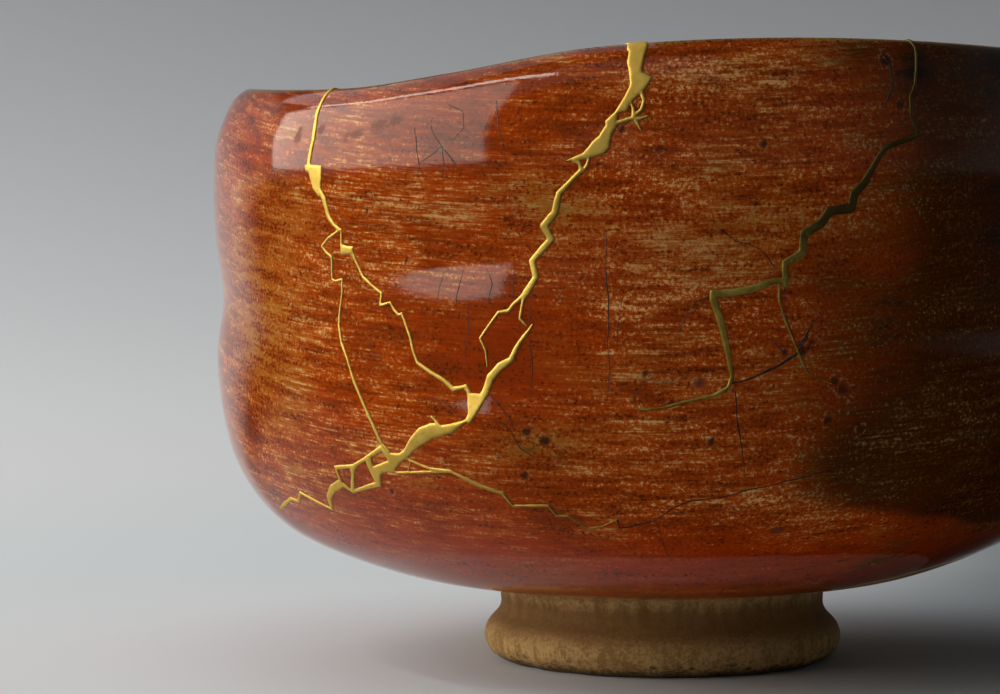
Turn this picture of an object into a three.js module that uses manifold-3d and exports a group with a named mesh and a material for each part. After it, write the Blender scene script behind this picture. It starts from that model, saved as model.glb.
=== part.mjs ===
// A hand-formed red tea bowl on a turned foot ring, mended with raised gold-lacquer seams.
// Millimetres, +Z up. The origin is the centre of the foot's underside. Azimuth 0 faces -Y and grows towards +X.
import * as THREE from 'three';
import { mergeVertices } from 'three/addons/utils/BufferGeometryUtils.js';
import Module from 'manifold-3d';

// ---------------------------------------------------------------- driving dimensions
const FOOT_HEIGHT = 10.0;        // underside of the foot to the crease under the body
const FOOT_NECK_R = 21.2;        // foot at the crease
const FOOT_BULGE_R = 23.45;      // foot at its widest, low down
const FOOT_CONTACT_R = 20.9;     // outer edge of the flat ring it stands on
const FOOT_CONTACT_INNER_R = 18.0;
const RECESS_R = 14.9;           // hollow turned out under the foot
const RECESS_DEPTH = 3.7;
const HIP_R = 52.6;              // where the underside turns up into the wall
const HIP_Z = 22.4;
const BELLY_R = 58.5;            // lower swell of the wall
const BELLY_Z = 39.0;
const WAIST_R = 58.6;            // the middle of the wall, before the hand pressed it in
const WAIST_Z = 47.6;
const SHOULDER_R = 58.9;         // upper swell
const SHOULDER_Z = 62.6;
const LIP_R = 54.2;              // crown of the lip, which leans in
const LIP_Z = 74.8;              // crown of the lip where it is lowest
const WALL = 4.7;                // wall thickness halfway up
const FLOOR_Z = 12.9;            // bottom of the small pool in the middle of the floor
const STRETCH_FROM_Z = 30.0;     // above this the wall is drawn up to meet the rising and falling lip

const TURN_STEPS = 60;           // facets round the bowl
const SEAM_GAP = 0.20;           // underside of the lacquer above the glaze
const SEAM_GAP_INSIDE = 0.38;    // the same on the hollow side, where the facets stand in from the true curve
const SEAM_THICK = 0.40;         // how thick the lacquer lies
const UNROLL_R = 58.0;           // radius at which the wall is unrolled to lay out the seams

// ---------------------------------------------------------------- the bowl's section, from the crease up and over
const outside = [
  [FOOT_NECK_R, FOOT_HEIGHT], [26.0, FOOT_HEIGHT + 0.6], [33.5, FOOT_HEIGHT + 2.0], [41.5, FOOT_HEIGHT + 4.9],
  [47.8, HIP_Z - 4.2], [HIP_R, HIP_Z], [55.8, HIP_Z + 4.4], [BELLY_R - 0.9, BELLY_Z - 7.0],
  [BELLY_R, BELLY_Z], [WAIST_R, WAIST_Z], [WAIST_R + 0.1, WAIST_Z + 7.8], [SHOULDER_R, SHOULDER_Z],
  [SHOULDER_R - 0.5, SHOULDER_Z + 5.6], [LIP_R + 2.9, LIP_Z - 3.0], [LIP_R + 1.7, LIP_Z - 1.1], [LIP_R, LIP_Z],
];
const inside = [
  [LIP_R - 1.5, LIP_Z - 0.7], [LIP_R - 2.0, LIP_Z - 2.6], [LIP_R - 1.2, LIP_Z - 5.8], [SHOULDER_R - 4.9, SHOULDER_Z + 1.4],
  [WAIST_R - WALL + 0.2, WAIST_Z + 7.8], [WAIST_R - WALL + 0.1, WAIST_Z], [BELLY_R - WALL - 0.3, BELLY_Z],
  [52.0, BELLY_Z - 8.0], [48.0, HIP_Z + 2.4], [41.5, HIP_Z - 2.2], [33.0, FLOOR_Z + 4.1], [23.0, FLOOR_Z + 2.3],
  [13.5, FLOOR_Z + 1.3], [9.5, FLOOR_Z + 0.3], [0, FLOOR_Z],
];
// under the foot, from the middle of the recess out to the crease
const footSection = [
  [0, RECESS_DEPTH], [8.0, RECESS_DEPTH + 0.05], [RECESS_R - 1.9, RECESS_DEPTH - 0.1],
  [RECESS_R, RECESS_DEPTH - 0.6], [FOOT_CONTACT_INNER_R - 1.6, 1.4], [FOOT_CONTACT_INNER_R, 0], [FOOT_CONTACT_R, 0],
  [FOOT_CONTACT_R + 1.4, 0.7], [FOOT_BULGE_R - 0.15, 2.1], [FOOT_BULGE_R, 3.6], [FOOT_BULGE_R - 0.65, 4.9],
  [FOOT_NECK_R + 0.3, 6.3], [FOOT_NECK_R - 0.1, 7.6], [FOOT_NECK_R - 0.1, 8.9],
];

const stations = outside.concat(inside);
const along = [0];
for (let i = 1; i < stations.length; i++)
  along.push(along[i - 1] + Math.hypot(stations[i][0] - stations[i - 1][0], stations[i][1] - stations[i - 1][1]));
const CROWN = along[outside.length - 1];   // mm up the outside from the crease to the lip's crown
const SECTION_END = along[along.length - 1];

// a smooth curve through the stations, by mm along the section
function section(v) {
  v = Math.min(Math.max(v, 0), SECTION_END);
  let i = 0;
  while (i < along.length - 2 && along[i + 1] <= v) i++;
  const h = along[i + 1] - along[i], t = (v - along[i]) / h;
  const slope = (k, c) => {
    const a = Math.max(k - 1, 0), b = Math.min(k + 1, stations.length - 1);
    return (stations[b][c] - stations[a][c]) / (along[b] - along[a]);
  };
  const h00 = 2 * t ** 3 - 3 * t ** 2 + 1, h10 = t ** 3 - 2 * t ** 2 + t, h01 = -2 * t ** 3 + 3 * t ** 2, h11 = t ** 3 - t ** 2;
  return [0, 1].map(c => h00 * stations[i][c] + h10 * h * slope(i, c) + h01 * stations[i + 1][c] + h11 * h * slope(i + 1, c));
}

// ---------------------------------------------------------------- the hand in it
// low hills and dips of the lip: [azimuth, height of its crown]
const lipHills = [[-180, 77.4], [-150, 76.6], [-120, 74.9], [-85, 74.75], [-45, 74.5], [-28, 76.2], [-8, 79.2],
  [17, 80.3], [48, 79.5], [85, 77.6], [125, 78.8], [155, 77.7]];
// swells and hollows pressed and pared into the wall: azimuth, height, spread in azimuth, spread in height, outward, upward
const pressed = [
  [-80, 17.5, 48, 7.5, 1.5, -0.4],
  [-92, 47.6, 38, 5.0, -1.0, 0],
  [-25, 53.3, 14, 3.4, -0.62, 0],
  [-21, 34.2, 8.5, 3.0, 0.78, 0],
  [-34, 66.0, 24, 6.0, 0.3, 0],
  [-5, 43.0, 9, 6.0, 0.3, 0],
  [30, 58.0, 30, 8.0, 0.4, 0],
  [40, 45.0, 26, 4.0, -0.35, 0],
  [70, 38.0, 35, 10.0, 0.7, 0],
  [120, 55.0, 40, 9.0, -0.6, 0],
  [165, 38.0, 40, 10.0, 0.5, 0],
  [-140, 60.0, 35, 9.0, 0.4, 0],
];

const smooth = x => { x = Math.min(Math.max(x, 0), 1); return x * x * (3 - 2 * x); };
const wrap = d => ((d + 180) % 360 + 360) % 360 - 180;

function lipHeight(azimuth) {
  const n = lipHills.length;
  const at = k => { const turns = Math.floor(k / n), c = lipHills[k - turns * n]; return [c[0] + 360 * turns, c[1]]; };
  const a = wrap(azimuth);
  let i = 0;
  while (at(i + 1)[0] <= a) i++;
  const [p, q, r, s] = [at(i - 1), at(i), at(i + 1), at(i + 2)];
  const h = r[0] - q[0], t = (a - q[0]) / h, m0 = (r[1] - p[1]) / (r[0] - p[0]), m1 = (s[1] - q[1]) / (s[0] - q[0]);
  return (2 * t ** 3 - 3 * t ** 2 + 1) * q[1] + (t ** 3 - 2 * t ** 2 + t) * h * m0 + (-2 * t ** 3 + 3 * t ** 2) * r[1] + (t ** 3 - t ** 2) * h * m1;
}

// a point of the true section, moved to where the hand left it
function formed(azimuth, r0, z0) {
  let r = r0, z = z0;
  if (z0 > STRETCH_FROM_Z) z = STRETCH_FROM_Z + (z0 - STRETCH_FROM_Z) * (lipHeight(azimuth) - STRETCH_FROM_Z) / (LIP_Z - STRETCH_FROM_Z);
  const share = smooth((z0 - 4) / 6) * smooth(r0 / 20);
  for (const [a, h, spreadA, spreadZ, out, up] of pressed) {
    const g = share * Math.exp(-((wrap(azimuth - a) / spreadA) ** 2) - ((z0 - h) / spreadZ) ** 2);
    r += out * g;
    z += up * g;
  }
  return [r, z];
}

function onBowl(azimuth, v) {
  const [r, z] = formed(azimuth, ...section(v)), a = THREE.MathUtils.degToRad(azimuth);
  return new THREE.Vector3(r * Math.sin(a), -r * Math.cos(a), z);
}

function outward(azimuth, v) {
  const e = 0.4, up = onBowl(azimuth, v + e).sub(onBowl(azimuth, v - e)), round = onBowl(azimuth + e, v).sub(onBowl(azimuth - e, v));
  return round.cross(up).normalize();
}

// ---------------------------------------------------------------- solids
const wasm = await Module();
wasm.setup();

function solidOf(geometry) {
  const g = geometry.clone();
  g.deleteAttribute('normal');
  g.deleteAttribute('uv');
  const m = mergeVertices(g, 1e-5);
  return new wasm.Manifold(new wasm.Mesh({ numProp: 3, vertProperties: new Float32Array(m.attributes.position.array), triVerts: new Uint32Array(m.index.array) }));
}

function geometryOf(positions, triangles) {
  const g = new THREE.BufferGeometry();
  g.setAttribute('position', new THREE.Float32BufferAttribute(positions, 3));
  g.setIndex(triangles);
  g.computeVertexNormals();
  return g;
}

// the bowl: its section turned about the axis, then every point moved to its hand-formed place
function bowlGeometry() {
  const profile = footSection.map(([r, z]) => new THREE.Vector2(r, z));
  const rows = [];
  const span = (from, to, n) => { for (let i = 0; i < n; i++) rows.push(from + (to - from) * i / n); };
  span(0, 25, 4);
  span(25, 48, 6);
  span(48, CROWN - 7, 6);
  span(CROWN - 7, CROWN + 6, 9);
  span(CROWN + 6, SECTION_END - 60, 7);
  span(SECTION_END - 60, SECTION_END - 36, 6);
  span(SECTION_END - 36, SECTION_END, 6);
  rows.push(SECTION_END);
  for (const v of rows) { const [r, z] = section(v); profile.push(new THREE.Vector2(Math.max(r, 0), z)); }
  profile[profile.length - 1].x = 0;
  const turned = new THREE.LatheGeometry(profile, TURN_STEPS);
  const p = turned.attributes.position, n = profile.length;
  for (let k = 0; k < p.count; k++) {
    const step = Math.floor(k / n) % TURN_STEPS, { x: r0, y: z0 } = profile[k % n];
    const azimuth = 360 * step / TURN_STEPS - 180, [r, z] = formed(azimuth, r0, z0), a = THREE.MathUtils.degToRad(azimuth);
    p.setXYZ(k, r0 === 0 ? 0 : r * Math.sin(a), r0 === 0 ? 0 : -r * Math.cos(a), z);
  }
  turned.deleteAttribute('normal');
  turned.deleteAttribute('uv');
  const closed = mergeVertices(turned, 1e-4);
  const index = [];
  const tri = closed.index.array;
  for (let i = 0; i < tri.length; i += 3) {
    const [a, b, c] = [tri[i], tri[i + 1], tri[i + 2]];
    if (a !== b && b !== c && c !== a) index.push(a, b, c);
  }
  return facingOut(Array.from(closed.attributes.position.array), index);
}

function facingOut(positions, triangles) {
  let volume = 0;
  const at = i => new THREE.Vector3(positions[3 * i], positions[3 * i + 1], positions[3 * i + 2]);
  for (let i = 0; i < triangles.length; i += 3) volume += at(triangles[i]).dot(at(triangles[i + 1]).cross(at(triangles[i + 2])));
  if (volume < 0) for (let i = 0; i < triangles.length; i += 3) [triangles[i + 1], triangles[i + 2]] = [triangles[i + 2], triangles[i + 1]];
  return geometryOf(positions, triangles);
}

// ---------------------------------------------------------------- the seams
// Each run is [azimuth, mm along the section from the crease, width]. Past CROWN it goes over the lip and down the inside.
const INSIDE = 2 * CROWN - 0.3;  // a crack at v outside comes out at INSIDE - v inside
const runs = {
  left_crack: [[-47.4, 87.5, 0.6], [-46.8, 82.3, 0.6], [-46.9, 79.4, 0.9], [-45.4, 76.6, 1.6], [-43.9, 74.6, 0.8], [-43.2, 72.6, 0.6], [-41.5, 70.8, 0.7]],
  left_lower: [[-41.5, 71.0, 0.6], [-44.6, 68.9, 0.6], [-43.2, 67.4, 0.6], [-43.4, 64.9, 0.6], [-42.0, 64.6, 0.6], [-42.6, 59.5, 0.55], [-40.6, 55.3, 0.55], [-38.1, 50.1, 0.6], [-35.4, 44.6, 0.7]],
  middle_branch: [[-41.5, 71.0, 0.6], [-41.3, 68.3, 0.6], [-39.4, 67.8, 0.6], [-37.6, 64.6, 0.7], [-35.8, 62.4, 0.7], [-33.2, 60.8, 0.7], [-31.4, 58.1, 0.6], [-30.0, 55.0, 0.6], [-26.3, 53.0, 0.6], [-23.0, 51.6, 0.8]],
  centre_top: [[-2.8, 88.0, 1.8], [-3.2, 85.2, 1.7], [-2.8, 83.6, 3.0], [-4.4, 81.2, 2.6], [-6.3, 79.0, 2.0], [-8.0, 77.3, 1.6], [-9.6, 75.9, 0.8]],
  centre_twig: [[-4.2, 81.6, 0.8], [-2.4, 80.9, 0.6], [-1.6, 80.2, 0.5]],
  centre_lower: [[-9.4, 76.0, 0.9], [-11.0, 73.9, 0.8], [-12.4, 71.0, 0.7], [-13.7, 69.6, 0.8], [-12.9, 68.1, 0.8], [-14.9, 66.2, 0.8], [-14.8, 64.2, 0.8], [-16.2, 62.5, 0.7]],
  centre_fork: [[-16.2, 62.5, 0.6], [-18.2, 60.7, 0.6], [-20.0, 59.8, 0.6], [-21.6, 57.4, 0.6], [-20.7, 54.4, 0.6]],
  centre_down: [[-16.2, 62.5, 0.6], [-16.7, 60.0, 0.7], [-16.3, 58.2, 0.9], [-17.8, 55.6, 0.9], [-20.4, 53.0, 1.2], [-21.4, 51.0, 1.8], [-22.8, 49.2, 1.5], [-24.4, 47.4, 1.4]],
  band: [[-23.4, 48.3, 0.9], [-26.8, 47.1, 1.2], [-28.6, 47.1, 1.9], [-30.8, 45.6, 1.8], [-33.2, 43.8, 1.9], [-35.4, 42.9, 2.2], [-37.4, 42.0, 1.0]],
  rung_top: [[-35.2, 44.2, 0.7], [-37.0, 44.0, 0.7], [-39.6, 42.9, 0.7], [-44.4, 41.9, 0.6]],
  rung_left: [[-44.4, 41.9, 0.6], [-44.4, 39.6, 0.7], [-43.0, 38.6, 0.8]],
  rung_bottom: [[-44.6, 39.0, 1.0], [-42.4, 38.7, 1.2], [-37.6, 39.9, 1.1], [-36.6, 42.0, 1.2]],
  rung_middle: [[-41.3, 42.2, 0.7], [-41.7, 38.9, 0.7]],
  rung_right: [[-38.2, 43.2, 0.7], [-37.4, 40.1, 0.8]],
  tail: [[-44.2, 39.0, 1.1], [-46.5, 38.2, 1.1], [-48.4, 36.6, 1.0], [-50.4, 36.1, 0.9], [-55.2, 37.1, 0.8], [-56.8, 35.8, 0.8], [-60.5, 35.0, 0.6], [-64.5, 33.2, 0.5]],
  low_branch: [[-34.0, 42.4, 0.9], [-30.6, 42.3, 0.7], [-26.3, 42.3, 0.7], [-22.5, 40.5, 0.6], [-19.8, 39.6, 0.6], [-18.6, 37.9, 0.6], [-14.2, 37.9, 0.7], [-13.2, 36.6, 0.7], [-11.7, 36.4, 0.7], [-9.4, 34.6, 0.7], [-7.8, 34.8, 0.6], [-5.8, 35.9, 0.5]],
};
const rightRuns = {
  right_top: [[32.0, 87.5, 1.1], [30.4, 83.2, 1.1], [29.7, 80.4, 1.1], [30.3, 78.3, 1.1], [26.2, 76.9, 1.2], [23.5, 73.2, 1.2], [22.0, 70.7, 1.3], [19.3, 70.1, 1.1], [18.2, 68.9, 1.1], [16.3, 67.8, 1.2], [16.1, 65.9, 1.1], [14.2, 64.7, 1.2], [13.9, 62.9, 1.0]],
  right_bend: [[13.9, 63.2, 0.9], [10.2, 62.2, 0.9], [5.9, 61.7, 0.9], [6.7, 58.8, 0.9], [7.9, 53.2, 0.9], [7.4, 52.0, 0.9], [5.9, 51.2, 0.8], [0.4, 50.0, 0.7], [-4.1, 49.8, 0.5]],
  right_branch: [[13.7, 62.8, 0.8], [13.6, 61.0, 0.7], [15.4, 56.3, 0.6], [16.7, 53.4, 0.6], [19.8, 52.2, 0.5]],
};
// over the lip, then the same cracks where they come out inside, plainer
const mirrored = (route, shift, w) => route.map(([a, v]) => [a + shift, INSIDE - v, w]);
runs.left_over = [[-47.4, 86.8, 0.6], [-47.9, 91.0, 0.7], ...mirrored([[-48.0, 84], [-46.5, 76], [-42.6, 71], [-43.6, 65], [-41.8, 56], [-36.0, 45.4]], -0.5, 0.8)];
runs.centre_over = [[-2.6, 87.0, 1.9], [-2.9, 91.0, 1.8], ...mirrored([[-3.6, 83], [-7.0, 78], [-12.0, 72], [-14.0, 66], [-17.4, 58], [-22.4, 50], [-30.0, 47], [-36.5, 46.4]], 0.6, 1.2)];
runs.low_inside = mirrored([[-34.6, 47.0], [-43.0, 43.5], [-52.0, 42.0]], 0.6, 0.8);
rightRuns.right_over = [[32.1, 86.8, 1.1], [31.4, 91.0, 1.1], ...mirrored([[30.2, 82], [24.6, 75], [18.4, 69.5], [14.6, 63.5], [7.0, 60.5], [8.0, 53]], 0.6, 0.9)];

const toU = azimuth => THREE.MathUtils.degToRad(azimuth) * UNROLL_R;

// one run laid flat on the unrolled wall: a chain of mitred slabs
function slabs(route) {
  const p = route.map(([a, v, w]) => ({ at: new THREE.Vector2(toU(a), v), w }));
  const side = [];
  for (let i = 0; i < p.length; i++) {
    const back = i > 0 ? p[i].at.clone().sub(p[i - 1].at).normalize() : null;
    const on = i < p.length - 1 ? p[i + 1].at.clone().sub(p[i].at).normalize() : null;
    const dir = (back && on ? back.clone().add(on) : back || on).normalize();
    const n = new THREE.Vector2(-dir.y, dir.x), turn = back && on ? Math.max(0.6, Math.sqrt((1 + back.dot(on)) / 2)) : 1;
    side.push([p[i].at.clone().addScaledVector(n, p[i].w / 2 / turn), p[i].at.clone().addScaledVector(n, -p[i].w / 2 / turn)]);
  }
  return side.slice(1).map((s, i) => {
    const corners = [side[i][0], s[0], s[1], side[i][1]];
    return solidOf(new THREE.ExtrudeGeometry(new THREE.Shape(THREE.ShapeUtils.isClockWise(corners) ? corners.reverse() : corners), { depth: SEAM_THICK, bevelEnabled: false }));
  });
}

// splits every edge longer than its limit, so that the flat network can bend round the bowl and over the lip
function subdivided(positions, triangles) {
  const limit = v => Math.abs(v - CROWN) < 5.5 ? 1.5 : 4.6;
  for (let round = 0; round < 8; round++) {
    const mid = new Map(), next = [];
    const cut = (a, b) => {
      const key = a < b ? a + '_' + b : b + '_' + a;
      if (mid.has(key)) return mid.get(key);
      const d = Math.hypot(positions[3 * a] - positions[3 * b], positions[3 * a + 1] - positions[3 * b + 1]);
      const long = d > Math.min(limit(positions[3 * a + 1]), limit(positions[3 * b + 1]), limit((positions[3 * a + 1] + positions[3 * b + 1]) / 2));
      let m = -1;
      if (long) { m = positions.length / 3; for (let c = 0; c < 3; c++) positions.push((positions[3 * a + c] + positions[3 * b + c]) / 2); }
      mid.set(key, m);
      return m;
    };
    let changed = false;
    for (let i = 0; i < triangles.length; i += 3) {
      const t = [triangles[i], triangles[i + 1], triangles[i + 2]], m = [cut(t[0], t[1]), cut(t[1], t[2]), cut(t[2], t[0])];
      const n = m.filter(x => x >= 0).length;
      if (n) changed = true;
      if (n === 0) next.push(...t);
      else if (n === 3) next.push(t[0], m[0], m[2], t[1], m[1], m[0], t[2], m[2], m[1], m[0], m[1], m[2]);
      else if (n === 1) { const k = m.findIndex(x => x >= 0); next.push(t[k], m[k], t[(k + 2) % 3], m[k], t[(k + 1) % 3], t[(k + 2) % 3]); }
      else { const k = m.findIndex(x => x < 0), a = t[k], b = t[(k + 1) % 3], c = t[(k + 2) % 3], mb = m[(k + 1) % 3], mc = m[(k + 2) % 3]; next.push(a, b, mb, a, mb, mc, mc, mb, c); }
    }
    triangles = next;
    if (!changed) break;
  }
  return [positions, triangles];
}

function seamGeometry(network) {
  let whole = null;
  for (const route of Object.values(network)) for (const s of slabs(route)) whole = whole ? whole.add(s) : s;
  const m = whole.getMesh();
  const [flat, triangles] = subdivided(Array.from(m.vertProperties), Array.from(m.triVerts));
  for (let i = 0; i < flat.length; i += 3) {
    const azimuth = THREE.MathUtils.radToDeg(flat[i] / UNROLL_R), v = flat[i + 1], lift = SEAM_GAP + (SEAM_GAP_INSIDE - SEAM_GAP) * smooth((v - CROWN) / 8) + flat[i + 2];
    const p = onBowl(azimuth, v).addScaledVector(outward(azimuth, v), lift);
    flat[i] = p.x; flat[i + 1] = p.y; flat[i + 2] = p.z;
  }
  return facingOut(flat, triangles);
}

// ---------------------------------------------------------------- the scene graph
const glaze = new THREE.MeshStandardMaterial({ color: 0x93381a, roughness: 0.24, metalness: 0 });
const gold = () => new THREE.MeshStandardMaterial({ color: 0xc99a3a, roughness: 0.36, metalness: 1 });
const named = (name, geometry, material) => { const m = new THREE.Mesh(geometry, material); m.name = name; return m; };

const teaBowl = new THREE.Group();
teaBowl.add(named('bowl', bowlGeometry(), glaze));
const seams = new THREE.Group();
seams.add(named('gold_seam_front', seamGeometry(runs), gold()));
seams.add(named('gold_seam_right', seamGeometry(rightRuns), gold()));
teaBowl.add(seams);

export default teaBowl;
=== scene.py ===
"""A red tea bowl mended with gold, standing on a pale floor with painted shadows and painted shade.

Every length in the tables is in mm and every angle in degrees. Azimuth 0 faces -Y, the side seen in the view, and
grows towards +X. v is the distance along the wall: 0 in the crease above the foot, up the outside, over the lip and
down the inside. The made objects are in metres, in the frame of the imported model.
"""
import math

import bpy
import numpy as np
from mathutils import Matrix, Vector


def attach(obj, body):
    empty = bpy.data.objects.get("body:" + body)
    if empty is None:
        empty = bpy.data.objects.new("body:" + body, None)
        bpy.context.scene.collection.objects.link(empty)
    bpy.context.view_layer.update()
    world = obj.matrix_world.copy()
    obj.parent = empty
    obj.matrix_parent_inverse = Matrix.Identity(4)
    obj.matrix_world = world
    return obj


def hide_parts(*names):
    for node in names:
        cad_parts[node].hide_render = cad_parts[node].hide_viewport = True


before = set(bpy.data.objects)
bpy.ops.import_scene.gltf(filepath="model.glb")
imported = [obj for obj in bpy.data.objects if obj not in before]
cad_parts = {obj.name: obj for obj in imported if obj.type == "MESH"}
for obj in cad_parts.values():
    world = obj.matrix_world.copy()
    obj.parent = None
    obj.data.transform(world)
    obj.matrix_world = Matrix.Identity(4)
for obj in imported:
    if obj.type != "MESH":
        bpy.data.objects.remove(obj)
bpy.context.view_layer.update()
MM = 0.001

# ---------------------------------------------------------------- camera
camera_data = bpy.data.cameras.new("camera")
camera_data.sensor_width = 36.0
camera_data.lens = 136.8
camera_data.clip_start = 0.01
camera_data.clip_end = 20.0
camera_data.dof.use_dof = False
camera = bpy.data.objects.new("camera", camera_data)
bpy.context.scene.collection.objects.link(camera)
camera.location = (0.0, -0.5, 0.07)
camera.rotation_euler = (math.radians(90 - 3.34), 0.0, math.radians(2.46))
bpy.context.scene.camera = camera

# ---------------------------------------------------------------- the bowl's shape
# the wall's section: radius and height, from the crease up the outside, over the lip and down the inside
OUTSIDE = [(21.2, 10.0), (26.0, 10.6), (33.5, 12.0), (41.5, 14.9), (47.8, 18.2), (52.6, 22.4), (55.8, 26.8),
           (57.6, 32.0), (58.5, 39.0), (58.6, 47.6), (58.7, 55.4), (58.9, 62.6), (58.4, 68.2), (57.1, 71.8),
           (55.9, 73.7), (54.2, 74.8)]
INSIDE = [(52.7, 74.1), (52.2, 72.2), (53.0, 69.0), (54.0, 64.0), (54.1, 55.4), (54.0, 47.6), (53.5, 39.0),
          (52.0, 31.0), (48.0, 24.8), (41.5, 20.2), (33.0, 17.0), (23.0, 15.2), (13.5, 14.2), (9.5, 13.2),
          (0.0, 12.9)]
# the foot's section, from the middle of the recess under it to just below the crease
FOOT = [(0.0, 3.7), (7.0, 3.75), (12.5, 3.7), (14.8, 3.2), (16.0, 2.0), (16.9, 0.7), (17.9, 0.1), (19.4, 0.0),
        (20.9, 0.0), (21.7, 0.3), (22.8, 1.2), (23.4, 2.4), (23.45, 3.6), (22.8, 4.9), (21.6, 6.2), (21.1, 7.4),
        (21.1, 8.9), (21.25, 9.6), (21.9, 10.05)]
# height of the lip round the bowl
LIP = [(-180, 77.4), (-150, 76.6), (-120, 74.9), (-85, 74.75), (-45, 74.5), (-28, 76.2), (-8, 79.2), (17, 80.3),
       (48, 79.5), (85, 77.6), (125, 78.8), (155, 77.7)]
# hollows and swells: azimuth, height, half-width in azimuth, half-width in height, outward, upward
PADS = [(-80, 17.5, 48, 7.5, 1.5, -0.4), (-92, 47.6, 38, 5.0, -1.0, 0), (-25, 53.3, 14, 3.4, -0.62, 0),
        (-21, 34.2, 8.5, 3.0, 0.78, 0), (-34, 66, 24, 6, 0.30, 0), (-5, 43, 9, 6, 0.30, 0), (30, 58, 30, 8, 0.4, 0),
        (40, 45, 26, 4, -0.35, 0), (70, 38, 35, 10, 0.7, 0), (120, 55, 40, 9, -0.6, 0), (165, 38, 40, 10, 0.5, 0),
        (-140, 60, 35, 9, 0.4, 0)]
STRETCH_FROM = 30.0
LIP_NOMINAL = 74.8
PER_DEGREE = 58.0 * math.pi / 180.0


def smooth(x):
    x = np.clip(x, 0.0, 1.0)
    return x * x * (3 - 2 * x)


def wrap(a):
    return (np.asarray(a, float) + 180.0) % 360.0 - 180.0


def hermite(points, s):
    """A smooth curve through the points, at s mm along it. Returns an array of points."""
    p = np.array(points, float)
    d = np.r_[0, np.cumsum(np.hypot(*np.diff(p, axis=0).T))]
    m = np.empty_like(p)
    m[1:-1] = (p[2:] - p[:-2]) / (d[2:] - d[:-2])[:, None]
    m[0] = (p[1] - p[0]) / (d[1] - d[0])
    m[-1] = (p[-1] - p[-2]) / (d[-1] - d[-2])
    s = np.clip(np.asarray(s, float), 0, d[-1])
    i = np.clip(np.searchsorted(d, s, side="right") - 1, 0, len(d) - 2)
    h = d[i + 1] - d[i]
    t = ((s - d[i]) / h)[..., None]
    h = h[..., None]
    return ((2 * t**3 - 3 * t**2 + 1) * p[i] + (t**3 - 2 * t**2 + t) * h * m[i]
            + (-2 * t**3 + 3 * t**2) * p[i + 1] + (t**3 - t**2) * h * m[i + 1])


def length_of(points):
    return float(np.hypot(*np.diff(np.array(points, float), axis=0).T).sum())


WALL = OUTSIDE + INSIDE
CROWN = length_of(OUTSIDE)
WALL_END = length_of(WALL)
FOOT_END = length_of(FOOT)


def around(table, azimuth):
    """A value given round the bowl, smooth through the table and closed on itself."""
    a = np.array([c[0] for c in table], float)
    v = np.array([c[1] for c in table], float)
    p = np.mod(np.asarray(azimuth, float) - a[0], 360) + a[0]
    A = np.concatenate([a - 360, a, a + 360])
    V = np.concatenate([v, v, v])
    i = np.clip(np.searchsorted(A, p, side="right") - 1, 1, len(A) - 3)
    h = A[i + 1] - A[i]
    m0 = (V[i + 1] - V[i - 1]) / (A[i + 1] - A[i - 1])
    m1 = (V[i + 2] - V[i]) / (A[i + 2] - A[i])
    t = (p - A[i]) / h
    return ((2 * t**3 - 3 * t**2 + 1) * V[i] + (t**3 - 2 * t**2 + t) * h * m0
            + (-2 * t**3 + 3 * t**2) * V[i + 1] + (t**3 - t**2) * h * m1)


def lattice(ix, iy, iz, seed):
    n = (ix.astype(np.int64) * 374761393 + iy.astype(np.int64) * 668265263 + iz.astype(np.int64) * 1274126177
         + seed * 974634777) & 0xFFFFFFFF
    n = ((n ^ (n >> 13)) * 1103515245) & 0xFFFFFFFF
    n = ((n ^ (n >> 16)) * 2246822519) & 0xFFFFFFFF
    return ((n ^ (n >> 15)) & 0xFFFFFF) / float(0xFFFFFF) * 2 - 1


def lumps(x, y, z, size, seed):
    """Smooth seeded noise between -1 and 1, with lumps of the given size in mm."""
    q = [np.asarray(c, float) / size for c in (x, y, z)]
    i = [np.floor(c) for c in q]
    f = [smooth(c - k) for c, k in zip(q, i)]
    total = 0.0
    for a in (0, 1):
        for b in (0, 1):
            for c in (0, 1):
                w = ((f[0] if a else 1 - f[0]) * (f[1] if b else 1 - f[1]) * (f[2] if c else 1 - f[2]))
                total = total + w * lattice(i[0] + a, i[1] + b, i[2] + c, seed)
    return total


def cloud(x, y, z, size, seed, octaves=3):
    total, share = 0.0, 1.0
    for k in range(octaves):
        total = total + share * lumps(x, y, z, size / 2**k, seed + 17 * k)
        share *= 0.55
    return total / 1.25


def formed(azimuth, r, z):
    """Takes the turned section to the hand-formed bowl."""
    high = around(LIP, azimuth)
    zz = np.where(z > STRETCH_FROM, STRETCH_FROM + (z - STRETCH_FROM) * (high - STRETCH_FROM)
                  / (LIP_NOMINAL - STRETCH_FROM), z)
    share = smooth((z - 4) / 6) * smooth(r / 20)
    rr = r + 0.0
    for a, h, wa, wh, out, up in PADS:
        g = share * np.exp(-(wrap(azimuth - a) / wa) ** 2 - ((z - h) / wh) ** 2)
        rr = rr + out * g
        zz = zz + up * g
    return rr, zz


def relief(azimuth, r, z, wall):
    """Small unevenness left by the hands and the glaze, outward in mm. wall is 1 on the wall, 0 on the foot."""
    a = np.radians(azimuth)
    x, y = r * np.sin(a), -r * np.cos(a)
    d = 0.10 * lumps(x, y, z * 1.3, 17.0, 3) + 0.035 * lumps(x, y, z * 1.6, 7.0, 5)
    foot = 0.10 * lumps(x, y, z * 3.0, 9.0, 11) + 0.05 * lumps(x * 0.6, y * 0.6, z * 4.0, 2.6, 12)
    return np.where(wall > 0.5, d, foot)


def to_xyz(azimuth, r, z):
    a = np.radians(azimuth)
    return np.stack([r * np.sin(a), -r * np.cos(a), z], -1)


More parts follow.
